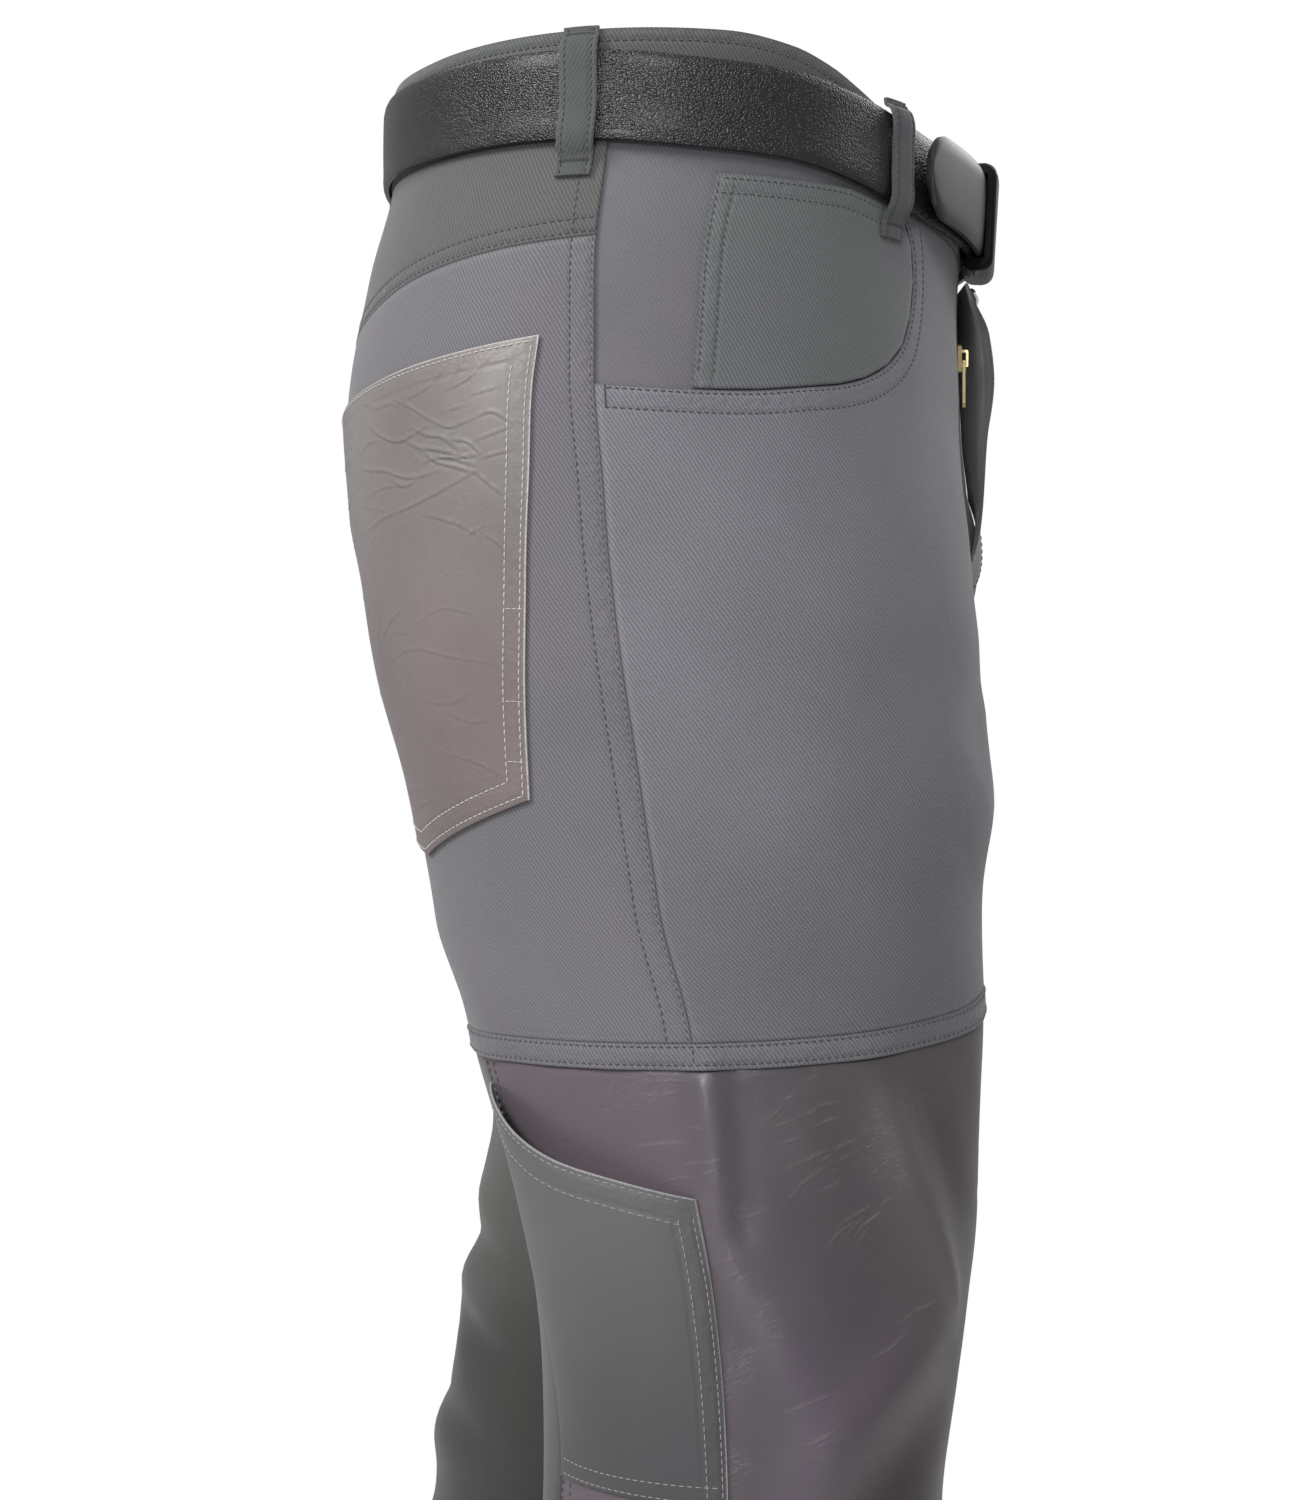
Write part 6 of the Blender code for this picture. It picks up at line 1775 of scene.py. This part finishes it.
def make_buckle(look):
    """The buckle: a rounded sleeve round both layers of the belt, with softened ends."""
    half = float(front_edge(0.0) - back_edge(0.0))
    centre = float(smooth_curve(BELT_LINE, 1, waist_s(half)))
    inside = rounded_box(BELT_WIDTH / 2.0 + BUCKLE_ROOM, BUCKLE_BACK + BUCKLE_BACK_WALL,
                         BUCKLE_FRONT - BUCKLE_FRONT_WALL + 0.3, BUCKLE_ROOM_ROUND)
    rings = []
    count = 25
    for i in range(count):
        share = i / (count - 1)
        u = half - BUCKLE_HALF_LENGTH + 2.0 * BUCKLE_HALF_LENGTH * share
        inward = min(share, 1.0 - share) * 2.0 * BUCKLE_HALF_LENGTH
        soft = 1.3 * max(0.0, 1.0 - inward / 3.0) ** 2
        outside = rounded_box(BUCKLE_HEIGHT / 2.0 - soft, BUCKLE_BACK + 0.3 * soft,
                              BUCKLE_FRONT - soft, BUCKLE_ROUND)
        rings.append(round_waist(np.full(len(outside), u), centre + outside[:, 0],
                                 outside[:, 1]))
    for i in reversed(range(count)):
        u = half - BUCKLE_HALF_LENGTH + 2.0 * BUCKLE_HALF_LENGTH * i / (count - 1)
        rings.append(round_waist(np.full(len(inside), u), centre + inside[:, 0], inside[:, 1]))
    made = sweep("belt_buckle_shell", rings, look, closed=True)
    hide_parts("belt_buckle")


def make_snap(look):
    """The snap at the top of the fly flap, with a rounded cap."""
    snap_s = float(fly_free_edge(SNAP_Z)) - SNAP_INSET
    levels = ((0.0, 0.75), (0.4, 0.97), (0.9, 1.0), (1.5, 0.97), (2.0, 0.86), (2.4, 0.66),
              (2.6, 0.4), (2.62, 0.1))
    rings = []
    for level, share in levels:
        angle = np.arange(32) * 2.0 * np.pi / 32
        s = snap_s + SNAP_RADIUS * share * np.cos(angle)
        z = SNAP_Z + SNAP_RADIUS * share * np.sin(angle)
        rings.append(place(LEFT, s, z, fly_outer(s, z) + LAYER_GAP + level))
    made = sweep("fly_snap_cap", rings, look)
    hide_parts("fly_snap")


def dress_metal(node, look, width):
    """A better finish and softened edges on a hard solid that stays."""
    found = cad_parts[node]
    found.data.materials.clear()
    found.data.materials.append(look)
    soft = found.modifiers.new("soft_edges", "BEVEL")
    soft.width = width * MM
    soft.segments = 3
    soft.limit_method = "ANGLE"
    soft.angle_limit = math.radians(30.0)


def make_light(name, where, target, size, power, colour):
    """A soft box."""
    data = bpy.data.lights.new(name, "AREA")
    data.shape = "RECTANGLE"
    data.size = size[0]
    data.size_y = size[1]
    data.energy = power
    data.color = colour
    made = bpy.data.objects.new(name, data)
    made.location = where
    aim = Vector(target) - Vector(where)
    made.rotation_mode = "QUATERNION"
    made.rotation_quaternion = aim.to_track_quat("-Z", "Y")
    bpy.context.scene.collection.objects.link(made)


def make_studio():
    """Plain pale floor, soft light and the camera at the picture's angle."""
    low = CAD_BOX[0].z - FLOOR_DROP
    form = bmesh.new()
    bmesh.ops.create_circle(form, cap_ends=True, radius=FLOOR_RADIUS, segments=64)
    mesh = bpy.data.meshes.new("floor")
    form.to_mesh(mesh)
    form.free()
    floor = bpy.data.objects.new("floor", mesh)
    floor.location = (0.0, 0.0, low)
    bpy.context.scene.collection.objects.link(floor)
    look = Look("floor_look", Specular_IOR_Level=0.2)
    where = look.own_place()
    cloud = look.noise(where, 3.0, 3.0)
    mesh.materials.append(look.finish(
        look.scale_colour((0.80, 0.80, 0.79), look.add(0.97, look.times(cloud, 0.06))), 0.8))

    world = bpy.data.worlds.new("studio")
    world.use_nodes = True
    tree = world.node_tree
    shown = tree.nodes["Background"]
    shown.inputs["Color"].default_value = (1.0, 1.0, 1.0, 1.0)
    shown.inputs["Strength"].default_value = 1.0
    fill = tree.nodes.new("ShaderNodeBackground")
    fill.inputs["Color"].default_value = (0.97, 0.98, 1.0, 1.0)
    fill.inputs["Strength"].default_value = 0.36
    path = tree.nodes.new("ShaderNodeLightPath")
    join = tree.nodes.new("ShaderNodeMixShader")
    tree.links.new(path.outputs["Is Camera Ray"], join.inputs[0])
    tree.links.new(fill.outputs[0], join.inputs[1])
    tree.links.new(shown.outputs[0], join.inputs[2])
    tree.links.new(join.outputs[0], tree.nodes["World Output"].inputs["Surface"])
    bpy.context.scene.world = world

    for row in LIGHTS:
        make_light(*row)

    azimuth = math.radians(AZIMUTH)
    target = Vector(TARGET)
    behind = Vector((math.sin(azimuth), -math.cos(azimuth), 0.0))
    data = bpy.data.cameras.new("camera")
    data.lens = LENS
    data.sensor_width = SENSOR
    data.clip_start = 0.01
    data.clip_end = 30.0
    camera = bpy.data.objects.new("camera", data)
    camera.location = target + behind * DISTANCE
    camera.rotation_mode = "QUATERNION"
    camera.rotation_quaternion = (-behind).to_track_quat("-Z", "Y")
    bpy.context.scene.collection.objects.link(camera)
    bpy.context.scene.camera = camera
    bpy.context.scene.view_settings.view_transform = "Standard"


twill_main = twill("twill_look", (0.152, 0.146, 0.162), painted_thigh_shade=True)
twill_side = twill("twill_back_look", (0.132, 0.127, 0.138), rows=(1.4, 9.5))
twill_yoke = twill("twill_yoke_look", (0.090, 0.088, 0.088), rows=(1.6, 7.0))
twill_band = twill("twill_band_look", (0.086, 0.088, 0.088), rows=(5.0,))
twill_hem = twill("twill_hem_look", (0.124, 0.121, 0.132), rows=(2.0, 8.8))
twill_coin = twill("twill_coin_look", (0.118, 0.122, 0.124), rows=(2.6, 8.6))
twill_facing = twill("facing_look", (0.130, 0.123, 0.137), contrast=0.10)
# Painted light: this twill is lighter than the rest, to lift the flap out of its shade.
twill_fly = twill("fly_look", (0.180, 0.184, 0.180), rows=(5.5,), contrast=0.2)
twill_loop = twill("loop_look", (0.072, 0.074, 0.076), rows=(2.0,), contrast=0.2)
# The leg twill gets painted shade towards the knee and painted light above it.
twill_leg = twill("twill_leg_look", (0.070, 0.069, 0.066), contrast=0.25, low=0.62)
leg_leather = leather_leg()
# Browner and darker lower down: partly the leather's own tone, partly painted shade.
pocket_leather = leather_pocket(
    "leather_pocket_look", (0.172, 0.157, 0.153), (0.163, 0.140, 0.138), (0.158, 0.125, 0.126),
    (-120.0, -240.0), (0.52, 0.50, 0.48), 1.0, (2.2, 9.0), 0.38)
# Much darker lower down, as painted shade.
tool_leather = leather_pocket(
    "leather_tool_look", (0.102, 0.101, 0.101), (0.097, 0.095, 0.097), (0.054, 0.052, 0.056),
    (-425.0, -530.0), (0.32, 0.31, 0.31), 0.15, (1.8, 9.0), 0.46)
belt_leather = belt_look()
buckle_gloss = gloss_look("buckle_look", (0.008, 0.008, 0.008), 0.14, 0.0, ior=1.10)
brass_metal = gloss_look("brass_look", (0.80, 0.66, 0.34), 0.26, 1.0)
# Painted light: the steel is lighter than bare steel, to brighten the snap in the flap's shade.
steel_metal = gloss_look("steel_look", (0.92, 0.92, 0.90), 0.30, 1.0)
zip_tape_cloth = tape_look()

for tag, side in SIDES:
    make_waistband(tag, side, twill_band)
    make_yoke(tag, side, twill_yoke)
    make_back(tag, side, twill_side)
    make_front(tag, side, twill_main)
    make_facing(tag, side, twill_facing)
    make_back_pocket(tag, side, pocket_leather)
    make_hem_band(tag, side, twill_hem)
    make_lower_leg(tag, side, leg_leather, twill_leg)
make_coin_pocket(twill_coin)
make_tool_pocket(tool_leather)
make_fly(twill_fly)
make_zip(zip_tape_cloth, brass_metal)
make_loops(twill_loop)
make_belt(belt_leather)
make_buckle(buckle_gloss)
make_snap(steel_metal)
dress_metal("zip_slider", brass_metal, 0.35)
dress_metal("zip_pull", brass_metal, 0.25)
finish_threads({
    "grey": thread_look("thread_grey", (0.040, 0.041, 0.044)),
    "leg": thread_look("thread_leg", (0.045, 0.040, 0.044)),
    "pale": thread_look("thread_pale", (0.27, 0.255, 0.24)),
    "light": thread_look("thread_light", (0.50, 0.48, 0.45)),
    "tack": thread_look("thread_tack", (0.045, 0.046, 0.050)),
})
make_studio()
